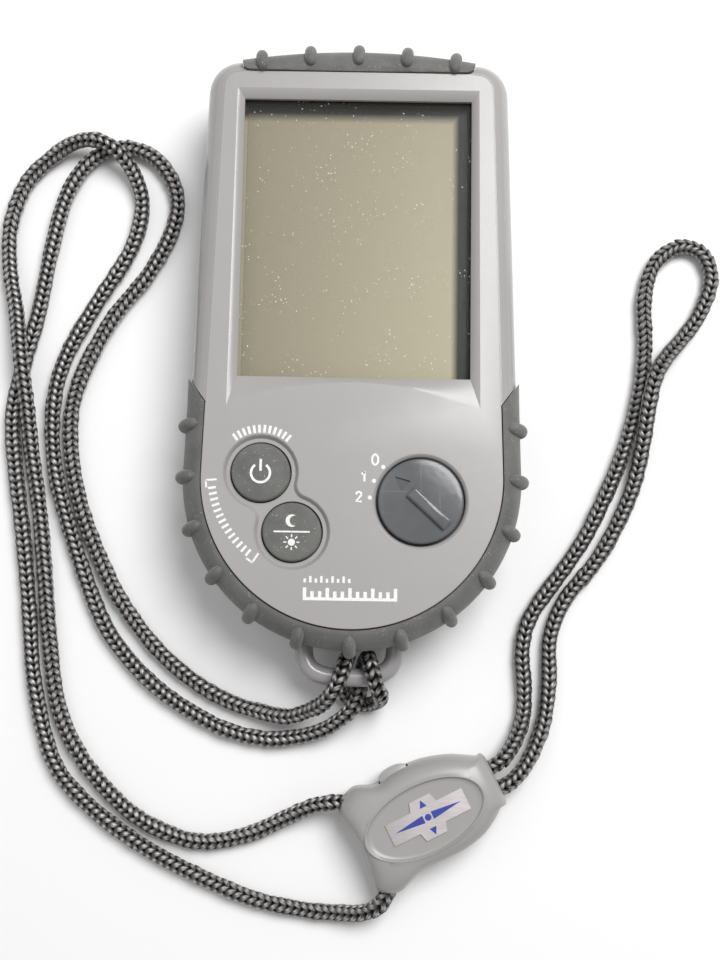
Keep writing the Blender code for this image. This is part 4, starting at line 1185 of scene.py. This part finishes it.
class COMPASS_OT_cords(CompassPiece, bpy.types.Operator):
    """Braid the neck cord with its hitch, and the wrist cord"""

    bl_idname = "compass.cords"
    bl_label = "Cords"

    def build(self, sizes):
        stitch = self.stitch(sizes)
        neck = [*reversed(NECK_B), *reversed(HITCH), *NECK_A]
        neck = self.braid("neck_cord", neck, sizes, stitch)
        fit(neck[0], "case", "cord_braid", "neck_cord_a", "neck_cord_b", "cord_hitch")
        wrist = self.braid("wrist_cord_braid", WRIST, sizes, stitch)
        fit(wrist[0], "case", "cord_braid", "wrist_cord")
        bpy.data.objects.remove(stitch)
        lock = [bpy.data.objects[name] for name in LOCK_PIECES]
        for obj, path, pieces in ((*neck, lock), (*wrist, [])):
            length = sum((b - a).length for a, b in zip(path, path[1:]))
            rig.cord(
                obj, exit=path[0], length=length, diameter=sizes.cord_diameter, far_end="object",
                stiffness="limp", lay="loose", path=path, with_pieces=pieces,
            )

    def stitch(self, sizes):
        """One grain-shaped stitch along Z, flat towards the core, with a map along and across it."""
        long, width, thick, hollow = 1.5, 0.56, 0.42, 0.18
        bm = bmesh.new()
        uv = bm.loops.layers.uv.new("stitch")
        rows = [[bm.verts.new((0, 0, -long))]]
        for t in (-0.78, -0.3, 0.3, 0.78):
            size = math.sqrt(1 - t * t) ** 0.8
            ring = []
            for angle in around(6):
                x, y = math.cos(angle) * thick * size, math.sin(angle) * width * size
                ring.append(bm.verts.new((x - hollow * t * t, y, t * long)))
            rows.append(ring)
        rows.append([bm.verts.new((0, 0, long))])
        for face in skin(bm, rows):
            for loop in face.loops:
                place = loop.vert.co
                loop[uv].uv = (0.5 + place.y / (2 * width), 0.5 + place.z / (2 * long))
        return as_object("stitch", bm, sharp=180.0, helper=True)

    def braid(self, name, route, sizes, stitch):
        """The braided object along a route, and the path it follows in metres."""
        path = [point * MM for point in even_path(route, 1.2)]
        data = bpy.data.curves.new(name, "CURVE")
        data.dimensions = "3D"
        data.twist_mode = "MINIMUM"
        spline = data.splines.new("POLY")
        spline.points.add(len(path) - 1)
        for i, (point, place) in enumerate(zip(spline.points, path)):
            point.co = (*place, 1.0)
            point.tilt = 0.5 * math.sin(i * 0.045) + 0.35 * math.sin(i * 0.017 + 1.0)
        obj = linked(name, data)
        tree = bpy.data.node_groups.get("plait") or plait_tree()
        radius = sizes.cord_diameter / 2
        run_tree(obj, tree, {
            "Pitch": sizes.stitch_pitch, "Slant": sizes.stitch_slant, "Stitch": stitch,
            "Ring Radius": radius - 0.00038, "Core Radius": radius - 0.00042,
            "Yarn": FINISHES["cord_braid"], "Core": FINISHES["cord_core"],
        })
        return settle(obj, sharp=180.0), path


class COMPASS_OT_case(CompassPiece, bpy.types.Operator):
    """Build the front and rear halves of the case"""

    bl_idname = "compass.case"
    bl_label = "Case"

    def build(self, sizes):
        bend = ((0.52, 21.86, 0), (2.2, 20.95, 0), (3.5, 18.9, 0), (4.0, 16.0, 0), (4.1, 13.0, 0))
        bend = [(point.x, point.y) for point in smooth_line(bend, 4)]
        front_foot, rear_head = PARTING_Z + GAP / 2, PARTING_Z - GAP / 2
        front = as_object("case_front", shell_loft((
            (0.1, FACE_Z), (0.28, 21.95), (0.31, 21.8), (0.4, 21.8), (0.43, 21.86), *bend,
            (CASE_GROW, PARTING_Z + 0.35), (3.9, front_foot), (0.4, front_foot), (0.4, 17.0),
            (-2.0, FACE_Z - WALL),
        )), FINISHES["case_grey"])
        rear = as_object("case_rear", shell_loft((
            (-0.6, 0.0), (0.2, 0.08), (0.9, 0.32), (1.7, 0.75), (2.5, 1.4), (3.1, 2.2), (3.6, 3.4),
            (3.9, 4.8), (CASE_GROW, 6.5), (CASE_GROW, PARTING_Z - 0.35), (3.9, rear_head),
            (0.4, rear_head), (0.4, 4.0), (-1.2, WALL),
        )), FINISHES["case_grey"])
        for half in (front, rear):
            shape_with(half, pocket(side_ends(), side_station, SIDE_POCKET, SIDE_END_SKEW, 0))
            shape_with(half, pocket(top_ends(), top_station, TOP_POCKET, 0, TOP_END_RISE))
            bore_for_loop(half)
        self.open_front(front)
        battery_door = rectangle((-25.5, DIAL_Y + 38.0), (25.5, DIAL_Y + 63.0), 0.6)
        shape_with(rear, prism(battery_door, -1.0, 3.0))
        bore = ((0, -1.0), (2.5, -1.0), (2.15, 0.45), (2.15, 2.7), (0, 2.7))
        for x, y in ((-18.0, 83.7), (18.0, 83.7), (-25.5, 11.0), (25.5, 11.0)):
            shape_with(rear, turned(bore, (x, y + DIAL_Y), 32))
        for half, node in ((front, "front_shell"), (rear, "rear_shell")):
            fit(settle(half, 14.0), "case", "case_grey", node)

    def open_front(self, front):
        shape_with(front, window_cutter())
        rings = []
        for grow, z in ((0.0, 21.1), (0.22, 21.35), (0.48, 21.75), (0.8, 22.04), (0.8, 24.0)):
            outline = figure_eight(POWER_AT, LIGHT_AT, 6.95 + grow, 3.0 - min(grow, 1.5))
            rings.append([(x, y, z) for x, y in outline])
        shape_with(front, loft(rings))
        bore = ((0, 18.0), (6.15, 18.0), (6.15, 21.0), (6.3, 21.2), (0, 21.2))
        for place in (POWER_AT, LIGHT_AT):
            shape_with(front, turned(bore, place, 96))
        well = (
            (0, 18.0), (8.95, 18.0), (8.95, 21.3), (9.1, 21.62), (9.45, 21.9), (9.8, 22.06), (9.8, 24.0),
            (0, 24.0),
        )
        shape_with(front, turned(well, KNOB_AT, 128))


def side_ends():
    return -SIDE_BUMPER_TOP, FACE_ARC + SIDE_BUMPER_TOP


def top_ends():
    return -TOP_BUMPER_HALF, TOP_BUMPER_HALF


def bore_for_loop(obj):
    """Leaves room for the two legs of the lanyard loop."""
    for x in (-LOOP_HALF, LOOP_HALF):
        shape_with(obj, bar(world(x, -24.9, LOOP_Z), world(x, -37.5, LOOP_Z), LOOP_BORE_RADIUS))


def bumper_stops(first, last, skew):
    """Where a bumper's sections stand; skewed ends need a clear run before the next section."""
    if skew:
        return [first, *np.linspace(first + 3.4, last - 3.4, 97), last]
    fine = [0.0, 0.02, 0.06, 0.14, 0.26, 0.42, 0.62, 0.86, 1.14, 1.46, 1.82]
    return [*(first + step for step in fine), *np.linspace(first + 2.2, last - 2.2, 60),
            *(last - step for step in reversed(fine))]


def pocket(ends, station, section, skew, rise):
    """The room a bumper sits in, a gap longer than it at both ends."""
    room = END_GAP if rise else GAP
    first, last = ends[0] - room, ends[1] + room
    rings = []
    for s in bumper_stops(first, last, skew):
        lift = top_rise(s, last, 2.0, rise) if rise else 0.0
        rings.append(bumper_ring(station(s), section, skew if s in (first, last) else 0.0, lift))
    return loft(rings)


def window_cutter():
    """Window hole with the sloped surround: narrow at the sides, down to two points, arched below."""
    window, surround = [], []
    half, half_top, tip, top, crest = 25.7, 25.2, 14.0, 81.6, 19.2
    rise = crest - tip
    arch = (half * half + rise * rise) / (2 * rise)
    for t in np.linspace(-1, 1, 61):
        window.append((WINDOW_HALF * t, WINDOW_LOW))
        x = half * t
        surround.append((x, crest - arch + math.sqrt(arch * arch - x * x)))
    for t in np.linspace(0, 1, 13)[1:]:
        window.append((WINDOW_HALF, WINDOW_LOW + t * (WINDOW_HIGH - WINDOW_LOW)))
        surround.append((half + t * (half_top - half), tip + t * (top - tip)))
    for t in np.linspace(1, -1, 17)[1:]:
        window.append((WINDOW_HALF * t, WINDOW_HIGH))
        surround.append((half_top * t, top))
    for side in (window, surround):
        side += [(-x, y) for x, y in side[71:60:-1]]
    rings = []
    for share, z in (
        (0, 17.1), (0, 20.95), (0.1, 21.14), (0.4, 21.54), (0.75, 21.88), (1.0, 22.02), (1.02, 24.0),
    ):
        rings.append([
            world(inner[0] + (outer[0] - inner[0]) * share, inner[1] + (outer[1] - inner[1]) * share, z)
            for inner, outer in zip(window, surround)
        ])
    return loft(rings)


class COMPASS_OT_bumpers(CompassPiece, bpy.types.Operator):
    """Build the rubber bumpers with their rows of nubs"""

    bl_idname = "compass.bumpers"
    bl_label = "Bumpers"

    def build(self, sizes):
        spots = [math.radians(SIDE_NUB_PITCH * i) * FACE_RADIUS for i in range(11)]
        spots = [-SIDE_NUB_ABOVE, *spots, FACE_ARC + SIDE_NUB_ABOVE]
        side = self.body(side_ends(), side_station, SIDE_SECTION, SIDE_END_SKEW, 0.0)
        bore_for_loop(side)
        side = self.with_nubs("side_bumper_rubber", settle(side), side_station, SIDE_NUB, spots, sizes)
        fit(side, "case", "rubber_dark", "side_bumper")
        spots = [TOP_NUB_PITCH * i for i in range(-2, 3)]
        top = self.body(top_ends(), top_station, TOP_SECTION, 0.0, TOP_END_RISE)
        top = self.with_nubs("top_bumper_rubber", top, top_station, TOP_NUB, spots, sizes)
        fit(top, "case", "rubber_dark", "top_bumper")

    def body(self, ends, station, section, skew, rise):
        """A bumper without its nubs: rings of its section along its run."""
        smooth = smooth_line([(grow, z, 0) for grow, z in section[:7]], 4)
        section = [(point.x, point.y) for point in smooth] + list(section[7:])
        rings = []
        for s in bumper_stops(*ends, skew):
            lift = top_rise(s, ends[1], 1.9, rise) if rise else 0.0
            most = 4.75 - 0.75 * (s / ends[1]) ** 8 if rise else 9.0
            rings.append(bumper_ring(station(s), section, skew if s in ends else 0.0, lift, most))
        return as_object("bumper_body", loft(rings), sharp=50.0, helper=True)

    def with_nubs(self, name, body, station, nub, spots, sizes):
        shape = as_object("nub", self.nub(nub, sizes.nub_width / 2 / MM), sharp=180.0, helper=True)
        places = []
        for s in spots:
            (x, y), out = station(s)
            places.append((world(x, y, 0), math.atan2(out[1], out[0])))
        return row_of(name, places, shape, body, FINISHES["rubber_dark"])

    def nub(self, route, radius):
        """A rounded ridge that runs from the face side over the bumper's edge, along X and down."""
        path = smooth_line([(grow, 0, z) for grow, z in route], 5)
        radii = []
        for i in range(len(path)):
            t = i / (len(path) - 1)
            start = math.sqrt(max(0.0, 1 - (1 - min(1.0, t / 0.22)) ** 2))
            end = math.sqrt(max(0.0, 1 - max(0.0, (t - 0.7) / 0.3) ** 2))
            radii.append(radius * max(0.12, min(start, end)))
        return tube(path, radii, 16)


class COMPASS_OT_loop(CompassPiece, bpy.types.Operator):
    """Build the lanyard loop"""

    bl_idname = "compass.loop"
    bl_label = "Lanyard loop"

    def build(self, sizes):
        shoulder, reach, inner_edge, corner = -33.2, 6.7, -27.4, 0.5
        outline = []
        for x, y in sweep((0, 0), 1.0, 180, 360, 49):
            across = LOOP_HALF * math.copysign(abs(x) ** 0.65, x)
            outline.append((across, shoulder - reach * abs(y) ** 0.65))
        half = [(LOOP_HALF, shoulder + 0.6 * i) for i in range(1, 10)]
        for a in (0.0, 0.5, 1.0, 1.57):
            half.append((
                LOOP_HALF - corner * (1 - math.cos(a)), inner_edge + corner * (math.sin(a) - 1)
            ))
        outline += half + [(x, inner_edge) for x in np.linspace(8.0, -8.0, 9)]
        outline += [(-x, y) for x, y in reversed(half)]
        rings = []
        for i, (x, y) in enumerate(outline):
            before, after = Vector(outline[i - 1]), Vector(outline[(i + 1) % len(outline)])
            along = (after - before).normalized()
            side = Vector((along.y, -along.x, 0))
            center = world(x, y, LOOP_Z)
            rings.append([
                center + side * (LOOP_RADIUS * math.cos(a)) + Vector((0, 0, LOOP_RADIUS * math.sin(a)))
                for a in around(24)
            ])
        loop = loft(rings, closed_path=True)
        piece("lanyard_loop_ring", loop, "case", "loop_grey", "lanyard_loop")


class COMPASS_OT_display(CompassPiece, bpy.types.Operator):
    """Build the clear pane of the window"""

    bl_idname = "compass.display"
    bl_label = "Display"

    def build(self, sizes):
        low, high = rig.box("window_lens")
        outline = rectangle(low.xy / MM, high.xy / MM, 1.0)
        rings = []
        for inset, z in ((0.0, 18.9), (0.0, 19.75), (0.15, 19.9)):
            rings.append([(x * (1 - inset / 25), y, z) for x, y in outline])
        piece("window_pane", loft(rings), "case", "clear_lens", "window_lens")


class COMPASS_OT_buttons(CompassPiece, bpy.types.Operator):
    """Build the two push buttons with their printed signs"""

    bl_idname = "compass.buttons"
    bl_label = "Buttons"

    def build(self, sizes):
        profile = [
            (0, 16.2), (1.5, 16.2), (1.5, 18.4), (6.5, 18.4), (6.5, 19.6), (5.85, 19.6), (5.85, 21.75),
            *(on_circle((5.45, 21.75), 0.4, a) for a in np.radians((20, 45, 70, 90))),
            *((r, 22.37 - 0.0078 * r * r) for r in (4.4, 3.2, 2.0, 1.0, 0)),
        ]
        for name, place in (("power_button", POWER_AT), ("light_button", LIGHT_AT)):
            piece(name + "_cap", turned(profile, place, 96), name, "rubber_dark", name)
        for name, sign in (("power", self.power_sign(POWER_AT)), ("light", self.light_sign(LIGHT_AT))):
            piece(name + "_sign", sign, name + "_button", "white_plastic", finish="white_ink")

    def power_sign(self, at):
        """A ring open at the top with an upright stroke: the usual sign for on and off."""
        x, y = at
        low, high = 22.3, 22.46
        ring = sweep((x, y - 0.2), 1.9, 125, 415, 40)
        return joined(
            stroke(ring, 0.5, low, high), stroke([(x, y + 0.2), (x, y + 2.6)], 0.5, low, high)
        )

    def light_sign(self, at):
        """A bar with a resting-moon arc above it and a small sun below."""
        x, y = at
        low, high = 22.2, 22.44
        moon = sweep((x, y + 2.2), 1.25, 60, 300, 24) + sweep((x + 0.55, y + 2.2), 1.0, 280, 80, 24)
        sun = (x, y - 2.1)
        parts = [
            stroke([(x - 3.6, y), (x + 3.6, y)], 0.34, low, high), prism(moon, low, high),
            prism(circle(sun, 0.7, 24), low, high),
        ]
        return joined(*parts, *(tick(sun, angle, 1.0, 1.6, 0.26, low, high) for angle in around(8)))


def stroke(points, width, low, high):
    """A flat printed line of even width through flat points."""
    left, right = [], []
    for i, point in enumerate(points):
        before, after = Vector(points[max(i - 1, 0)]), Vector(points[min(i + 1, len(points) - 1)])
        along = (after - before).normalized()
        across = Vector((-along.y, along.x)) * (width / 2)
        left.append((point[0] + across.x, point[1] + across.y))
        right.append((point[0] - across.x, point[1] - across.y))
    return prism(left + right[::-1], low, high)


def tick(at, angle, first, last, width, low, high):
    """A short printed line that points away from a centre."""
    return stroke([on_circle(at, radius, angle) for radius in (first, last)], width, low, high)


class COMPASS_OT_knob(CompassPiece, bpy.types.Operator):
    """Build the turning switch with its finger bar and arrowhead"""

    bl_idname = "compass.knob"
    bl_label = "Turning switch"

    def build(self, sizes):
        profile = [
            (0, 15.3), (2.2, 15.3), (2.2, 18.2), (10.2, 18.2), (10.2, 19.7), (8.55, 19.7), (8.55, 22.35),
            *(on_circle((8.1, 22.35), 0.45, a) for a in np.radians((15, 35, 55, 75, 90))),
            *((r, 23.03 - 0.0036 * r * r) for r in (7.2, 6.0, 4.5, 3.0, 1.5, 0)),
        ]
        knob = as_object("alarm_knob_top", turned(profile, KNOB_AT, 128), FINISHES["knob_blue_grey"])
        rings = []
        for inset, z in ((0.0, 21.8), (0.0, 23.4), (0.16, 23.68), (0.5, 23.9)):
            outline = rectangle((-2.9 + inset, -1.35 + inset), (7.3 - inset, 1.35 - inset), 0.35)
            rings.append([(*self.turned_point(u, v), z) for u, v in outline])
        shape_with(knob, loft(rings), "UNION")
        head = [self.turned_point(u, v) for u, v in ((-7.1, 0.1), (-4.2, 1.55), (-4.2, -1.35))]
        shape_with(knob, prism(head, 22.2, 24.5))
        fit(settle(knob), "alarm_knob", "knob_blue_grey", "alarm_knob")
        # A dark plate on the floor of the engraved arrowhead: painted shade in the recess.
        arrow = prism(head, 22.2, 22.5)
        piece("alarm_knob_arrow", arrow, "alarm_knob", "knob_blue_grey", finish="arrow_grey")

    def turned_point(self, u, v):
        c, s = math.cos(KNOB_LEAN), math.sin(KNOB_LEAN)
        return KNOB_AT[0] + u * c - v * s, KNOB_AT[1] + u * s + v * c


class COMPASS_OT_marks(CompassPiece, bpy.types.Operator):
    """Print the marks on the face"""

    bl_idname = "compass.marks"
    bl_label = "Printed marks"

    def build(self, sizes):
        parts = [
            self.tick(POWER_AT, angle, 8.0, 9.6, 0.55) for angle in np.radians(np.linspace(52, 127, 12))
        ]
        for degrees in SWITCH_STOPS:
            place = on_circle(KNOB_AT, 10.2, math.radians(degrees))
            parts.append(prism(circle(place, 0.42, 20), *MARK_Z))
        parts += self.bracket_arc() + self.dial_numbers() + self.scale()
        piece("face_marks", joined(*parts), "case", "white_plastic", finish="white_ink")

    def tick(self, at, angle, first, last, width):
        return tick(at, angle, first, last, width, *MARK_Z)

    def bracket_arc(self):
        """A row of ticks between two brackets, that sweeps round the left of both buttons."""
        at, size = (-7.8, DIAL_Y + 0.6), 20.4
        parts = []
        for angle in np.radians(np.linspace(189.0, 232.0, 14)):
            parts.append(self.tick(at, angle, size - 0.8, size + 0.8, 0.5))
        for degrees, turn in ((184.5, 0.07), (237.0, -0.07)):
            a = math.radians(degrees)
            inner, outer, end = (
                on_circle(at, size + r, a + b) for r, b in ((-1.1, 0.0), (1.1, 0.0), (1.1, turn))
            )
            parts += [stroke([inner, outer], 0.4, *MARK_Z), stroke([outer, end], 0.4, *MARK_Z)]
        return parts

    def dial_numbers(self):
        """The switch's three positions as plain numbers beside their dots."""
        zero = [(0.62 * math.cos(a), 1.05 * math.sin(a)) for a in np.linspace(0, 2 * math.pi, 25)]
        one = [(0.1, 1.05), (0.1, -1.0)]
        flag = [(-0.5, 0.45), (0.1, 0.9)]
        two = [(-0.55, 0.45), (-0.4, 0.85), (0.0, 1.0), (0.45, 0.8), (0.5, 0.35)]
        two += [(-0.55, -0.95), (0.6, -0.95)]
        at_0, at_1, at_2 = SWITCH_STOPS
        parts = []
        for shape, degrees in ((zero, at_0), (one, at_1), (flag, at_1), (two, at_2)):
            x, y = on_circle(KNOB_AT, 12.4, math.radians(degrees))
            parts.append(stroke([(x + u, y + v) for u, v in shape], 0.42, *MARK_Z))
        return parts

    def scale(self):
        """A small ruler scale over a bold line, where the face is plain."""
        y = DIAL_Y - 21.2
        lines = []
        for i in range(9):
            x = -9.0 + 1.1 * i
            lines.append(((x, y), (x, y + (1.3 if i % 2 else 0.8)), 0.5))
        for i in range(13):
            x = -9.0 + 1.5 * i
            lines.append(((x, y - 2.9), (x, y - (1.0 if i % 3 == 0 else 1.7)), 0.7))
        lines.append(((-9.35, y - 3.2), (9.35, y - 3.2), 0.6))
        return [stroke([start, end], width, *MARK_Z) for start, end, width in lines]


class COMPASS_OT_lock(CompassPiece, bpy.types.Operator):
    """Build the cord lock: two half shells, side button and label"""

    bl_idname = "compass.lock"
    bl_label = "Cord lock"

    def build(self, sizes):
        outline = smooth_loop(LOCK_OUTLINE, 8)
        for name, rows, node in (
            ("lock_top", LOCK_TOP_ROWS, "lock_front_shell"),
            ("lock_bottom", LOCK_BOTTOM_ROWS, "lock_back_shell"),
        ):
            rings = []
            for share, size, z in rows:
                ring = self.oval(outline, size) if size else self.spread(outline, share)
                rings.append([lock_point(u, v, z) for u, v in ring])
            half = as_object(name, loft(rings), FINISHES["lock_grey"], sharp=60.0)
            self.open_half(half)
            fit(settle(half, 60.0), "case", "lock_grey", node)
        self.label()
        self.button()

    def open_half(self, half):
        """Cuts the cords' bores and mouth, and the button's bore."""
        for (x, y), (dx, dy) in LOCK_LEGS:
            into = Vector((dx, dy, 0)).normalized()
            start = Vector((x, y, LOCK_PARTING))
            shape_with(half, bar(start - into * 4, start + into * 5, CORD_BORE_RADIUS))
        mouth = rectangle((-3.8, LOCK_PARTING - 2.1), (4.8, LOCK_PARTING + 2.1), 1.6)
        shape_with(half, loft([[lock_point(u, v, z) for v, z in mouth] for u in (12.4, 20.0)]))
        shape_with(half, lock_plate(rectangle((-5.4, 0.6), (1.6, 14.0), 0.4), 3.1, 7.9))

    def spread(self, outline, share):
        """The outline drawn in towards the raised oval by a share of the way."""
        points = []
        for (u, v), (oval_u, oval_v) in zip(outline, self.oval(outline, 1.0)):
            points.append(Vector((u + (oval_u * 1.06 - u) * share, v + (oval_v * 1.06 - v) * share)))
        for _ in range(round(70 * share)):
            neighbours = zip([points[-1], *points], points, [*points[1:], points[0]])
            points = [(before + 2 * point + after) / 4 for before, point, after in neighbours]
        return points

    def oval(self, outline, size):
        """The raised oval, with one point in the direction of each point of the outline."""
        half_u, half_v = LOCK_PANEL_HALF
        angles = [math.atan2(v / half_v, u / half_u) for u, v in outline]
        return [(size * half_u * math.cos(a), size * half_v * math.sin(a)) for a in angles]

    def label(self):
        plate = [(-8.6, -2.3), (-2.9, -2.3), (-2.3, -4.2), (2.3, -4.2), (2.9, -2.3), (8.6, -2.3)]
        plate += [(-u, -v) for u, v in plate]
        rings = []
        for size, z in ((1.0, 10.36), (1.0, 10.6), (0.985, 10.68)):
            rings.append([lock_point(u * size + LABEL_SHIFT, v * size, z) for u, v in plate])
        piece("lock_label", loft(rings), "case", "label_silver", "lock_label_plate")
        shapes = []
        for sign in (-1, 1):
            for corners in (
                ((-0.75, 2.2), (0.75, 2.2), (0.0, 3.75)), ((0.95, -0.8), (7.4, 0.0), (0.95, 0.8)),
            ):
                shapes.append([(LABEL_SHIFT + sign * u, sign * v) for u, v in corners])
        shapes.append(circle((LABEL_SHIFT, 0), 0.68, 24))
        marks = joined(*(lock_plate(shape, 10.66, 10.71) for shape in shapes))
        piece("lock_label_marks", marks, "case", "label_silver", finish="blue_ink")

    def button(self):
        center, half = -1.9, 3.2
        outline = [(center - half, 5.5), (center + half, 5.5)]
        outline += [(center + half * x, 10.6 + 1.3 * y) for x, y in sweep((0, 0), 1.0, 0, 180, 25)]
        rings = []
        for inset, z in ((0.35, 3.4), (0.08, 3.55), (0.0, 3.9), (0.0, 7.1), (0.08, 7.45), (0.35, 7.6)):
            rings.append([
                lock_point(u + inset * (center - u) / half, v - (inset if v > 6 else 0), z)
                for u, v in outline
            ])
        cap = as_object("lock_button_cap", loft(rings), FINISHES["lock_grey"])
        spring_bore = [lock_point(center, v, LOCK_PARTING) for v in (4.5, 8.7)]
        shape_with(cap, bar(*spring_bore, 1.7))
        fit(settle(cap), "lock_button", "lock_grey", "lock_button")


class COMPASS_OT_back(CompassPiece, bpy.types.Operator):
    """Build the battery cover with its grip ribs, and the case screws"""

    bl_idname = "compass.back"
    bl_label = "Back"

    def build(self, sizes):
        low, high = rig.box("battery_cover")
        left, foot = low.xy / MM
        right, head = high.xy / MM
        rings = []
        for inset, z in ((0.25, 0.3), (0.0, 0.55), (0.0, 1.7)):
            outline = rectangle((left + inset, foot + inset), (right - inset, head - inset), 0.5)
            rings.append([(x, y, z) for x, y in outline])
        plate = as_object("cover_plate", loft(rings), helper=True)
        places = [((0, head - 3.0 - 1.3 * i, 0.32), 0.0) for i in range(5)]
        cover = row_of("battery_cover_plate", places, self.grip_rib(), plate, FINISHES["case_grey"])
        fit(cover, "battery_cover", "case_grey", "battery_cover")
        nodes = [f"case_screw_{i}" for i in range(1, 5)]
        places = [((*middle(node), 0.0), 0.4 + i) for i, node in enumerate(nodes)]
        screws = row_of("case_screw_set", places, self.screw(), None, FINISHES["steel"])
        fit(screws, "case", "steel", *nodes)

    def grip_rib(self):
        """A low ridge along X whose ends taper off."""
        half = 6.0
        rings = []
        for x in np.linspace(-half, half, 13):
            reach = max(0.02, math.sqrt(max(0.0, 1 - (x / half) ** 4)))
            rings.append([(x, 0.42 * reach * math.cos(a), 0.28 * reach * math.sin(a)) for a in around(8)])
        return as_object("grip_rib", loft(rings), helper=True)

    def screw(self):
        """A flat-headed screw with a cross slot, head down."""
        profile = (
            (0, 0.8), (1.3, 0.82), (1.75, 1.0), (1.85, 1.3), (1.85, 2.4), (0.95, 2.4), (0.95, 17.0),
            (0, 17.6),
        )
        screw = as_object("screw", turned(profile, (0.0, 0.0), 32), helper=True)
        for x, y in ((1.2, 0.22), (0.22, 1.2)):
            shape_with(screw, prism(rectangle((-x, -y), (x, y), 0.1), 0.2, 1.3))
        return settle(screw)


class COMPASS_OT_stage(CompassPiece, bpy.types.Operator):
    """Lay the pale table and set the soft studio light"""

    bl_idname = "compass.stage"
    bl_label = "Stage"

    def build(self, sizes):
        x = y = 2500.0
        floor = as_object("floor", prism([(-x, -y), (x, -y), (x, y), (-x, y)], -20.0, 0.0))
        paint = Finish("floor_white", (0.9, 0.9, 0.9), 0.7)
        paint.color(paint.mix(paint.noise(300.0), (0.9, 0.9, 0.9), (0.92, 0.92, 0.92)))
        floor.data.materials.append(paint.material)
        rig.stage(floor)
        world_light = bpy.data.worlds.new("studio")
        world_light.use_nodes = True
        sky = world_light.node_tree.nodes["Background"]
        sky.inputs["Color"].default_value = (1.0, 1.0, 1.0, 1.0)
        sky.inputs["Strength"].default_value = 0.35
        bpy.context.scene.world = world_light
        bpy.context.scene.view_settings.view_transform = "Standard"
        for name, place, size, power in LAMPS:
            data = bpy.data.lights.new(name, "AREA")
            data.shape = "DISK"
            data.size = size
            data.energy = power
            lamp = linked(name, data)
            lamp.location = place
            lamp.rotation_euler = Vector(place).to_track_quat("Z", "Y").to_euler()


MAKERS = (
    COMPASS_OT_finishes, COMPASS_OT_camera, COMPASS_OT_lock, COMPASS_OT_cords, COMPASS_OT_case,
    COMPASS_OT_bumpers, COMPASS_OT_loop, COMPASS_OT_display, COMPASS_OT_buttons, COMPASS_OT_knob,
    COMPASS_OT_marks, COMPASS_OT_back, COMPASS_OT_stage,
)


class COMPASS_PT_panel(bpy.types.Panel):
    """Sizes, colours and makers of the compass"""

    bl_idname = "COMPASS_PT_panel"
    bl_label = "Compass"
    bl_space_type = "VIEW_3D"
    bl_region_type = "UI"
    bl_category = "Compass"

    def draw(self, context):
        for group in (context.scene.compass_sizes, context.scene.compass_colors):
            for name in group.bl_rna.properties.keys():
                if name not in ("rna_type", "name"):
                    self.layout.prop(group, name)
        for maker in MAKERS:
            self.layout.operator(maker.bl_idname)


CLASSES = (CompassSizes, CompassColors, *MAKERS, COMPASS_PT_panel)


def register():
    for item in CLASSES:
        bpy.utils.register_class(item)
    bpy.types.Scene.compass_sizes = bpy.props.PointerProperty(type=CompassSizes)
    bpy.types.Scene.compass_colors = bpy.props.PointerProperty(type=CompassColors)


def unregister():
    del bpy.types.Scene.compass_colors
    del bpy.types.Scene.compass_sizes
    for item in reversed(CLASSES):
        bpy.utils.unregister_class(item)


def main():
    register()
    for maker in MAKERS:
        group, name = maker.bl_idname.split(".")
        getattr(getattr(bpy.ops, group), name)()
    bpy.context.view_layer.update()
    boxes = [[list(corner) for corner in box] for box in (PACKED_BOX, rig.bounds())]
    with open("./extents.json", "w") as sizes:
        json.dump(boxes, sizes)


if __name__ == "__main__":
    main()
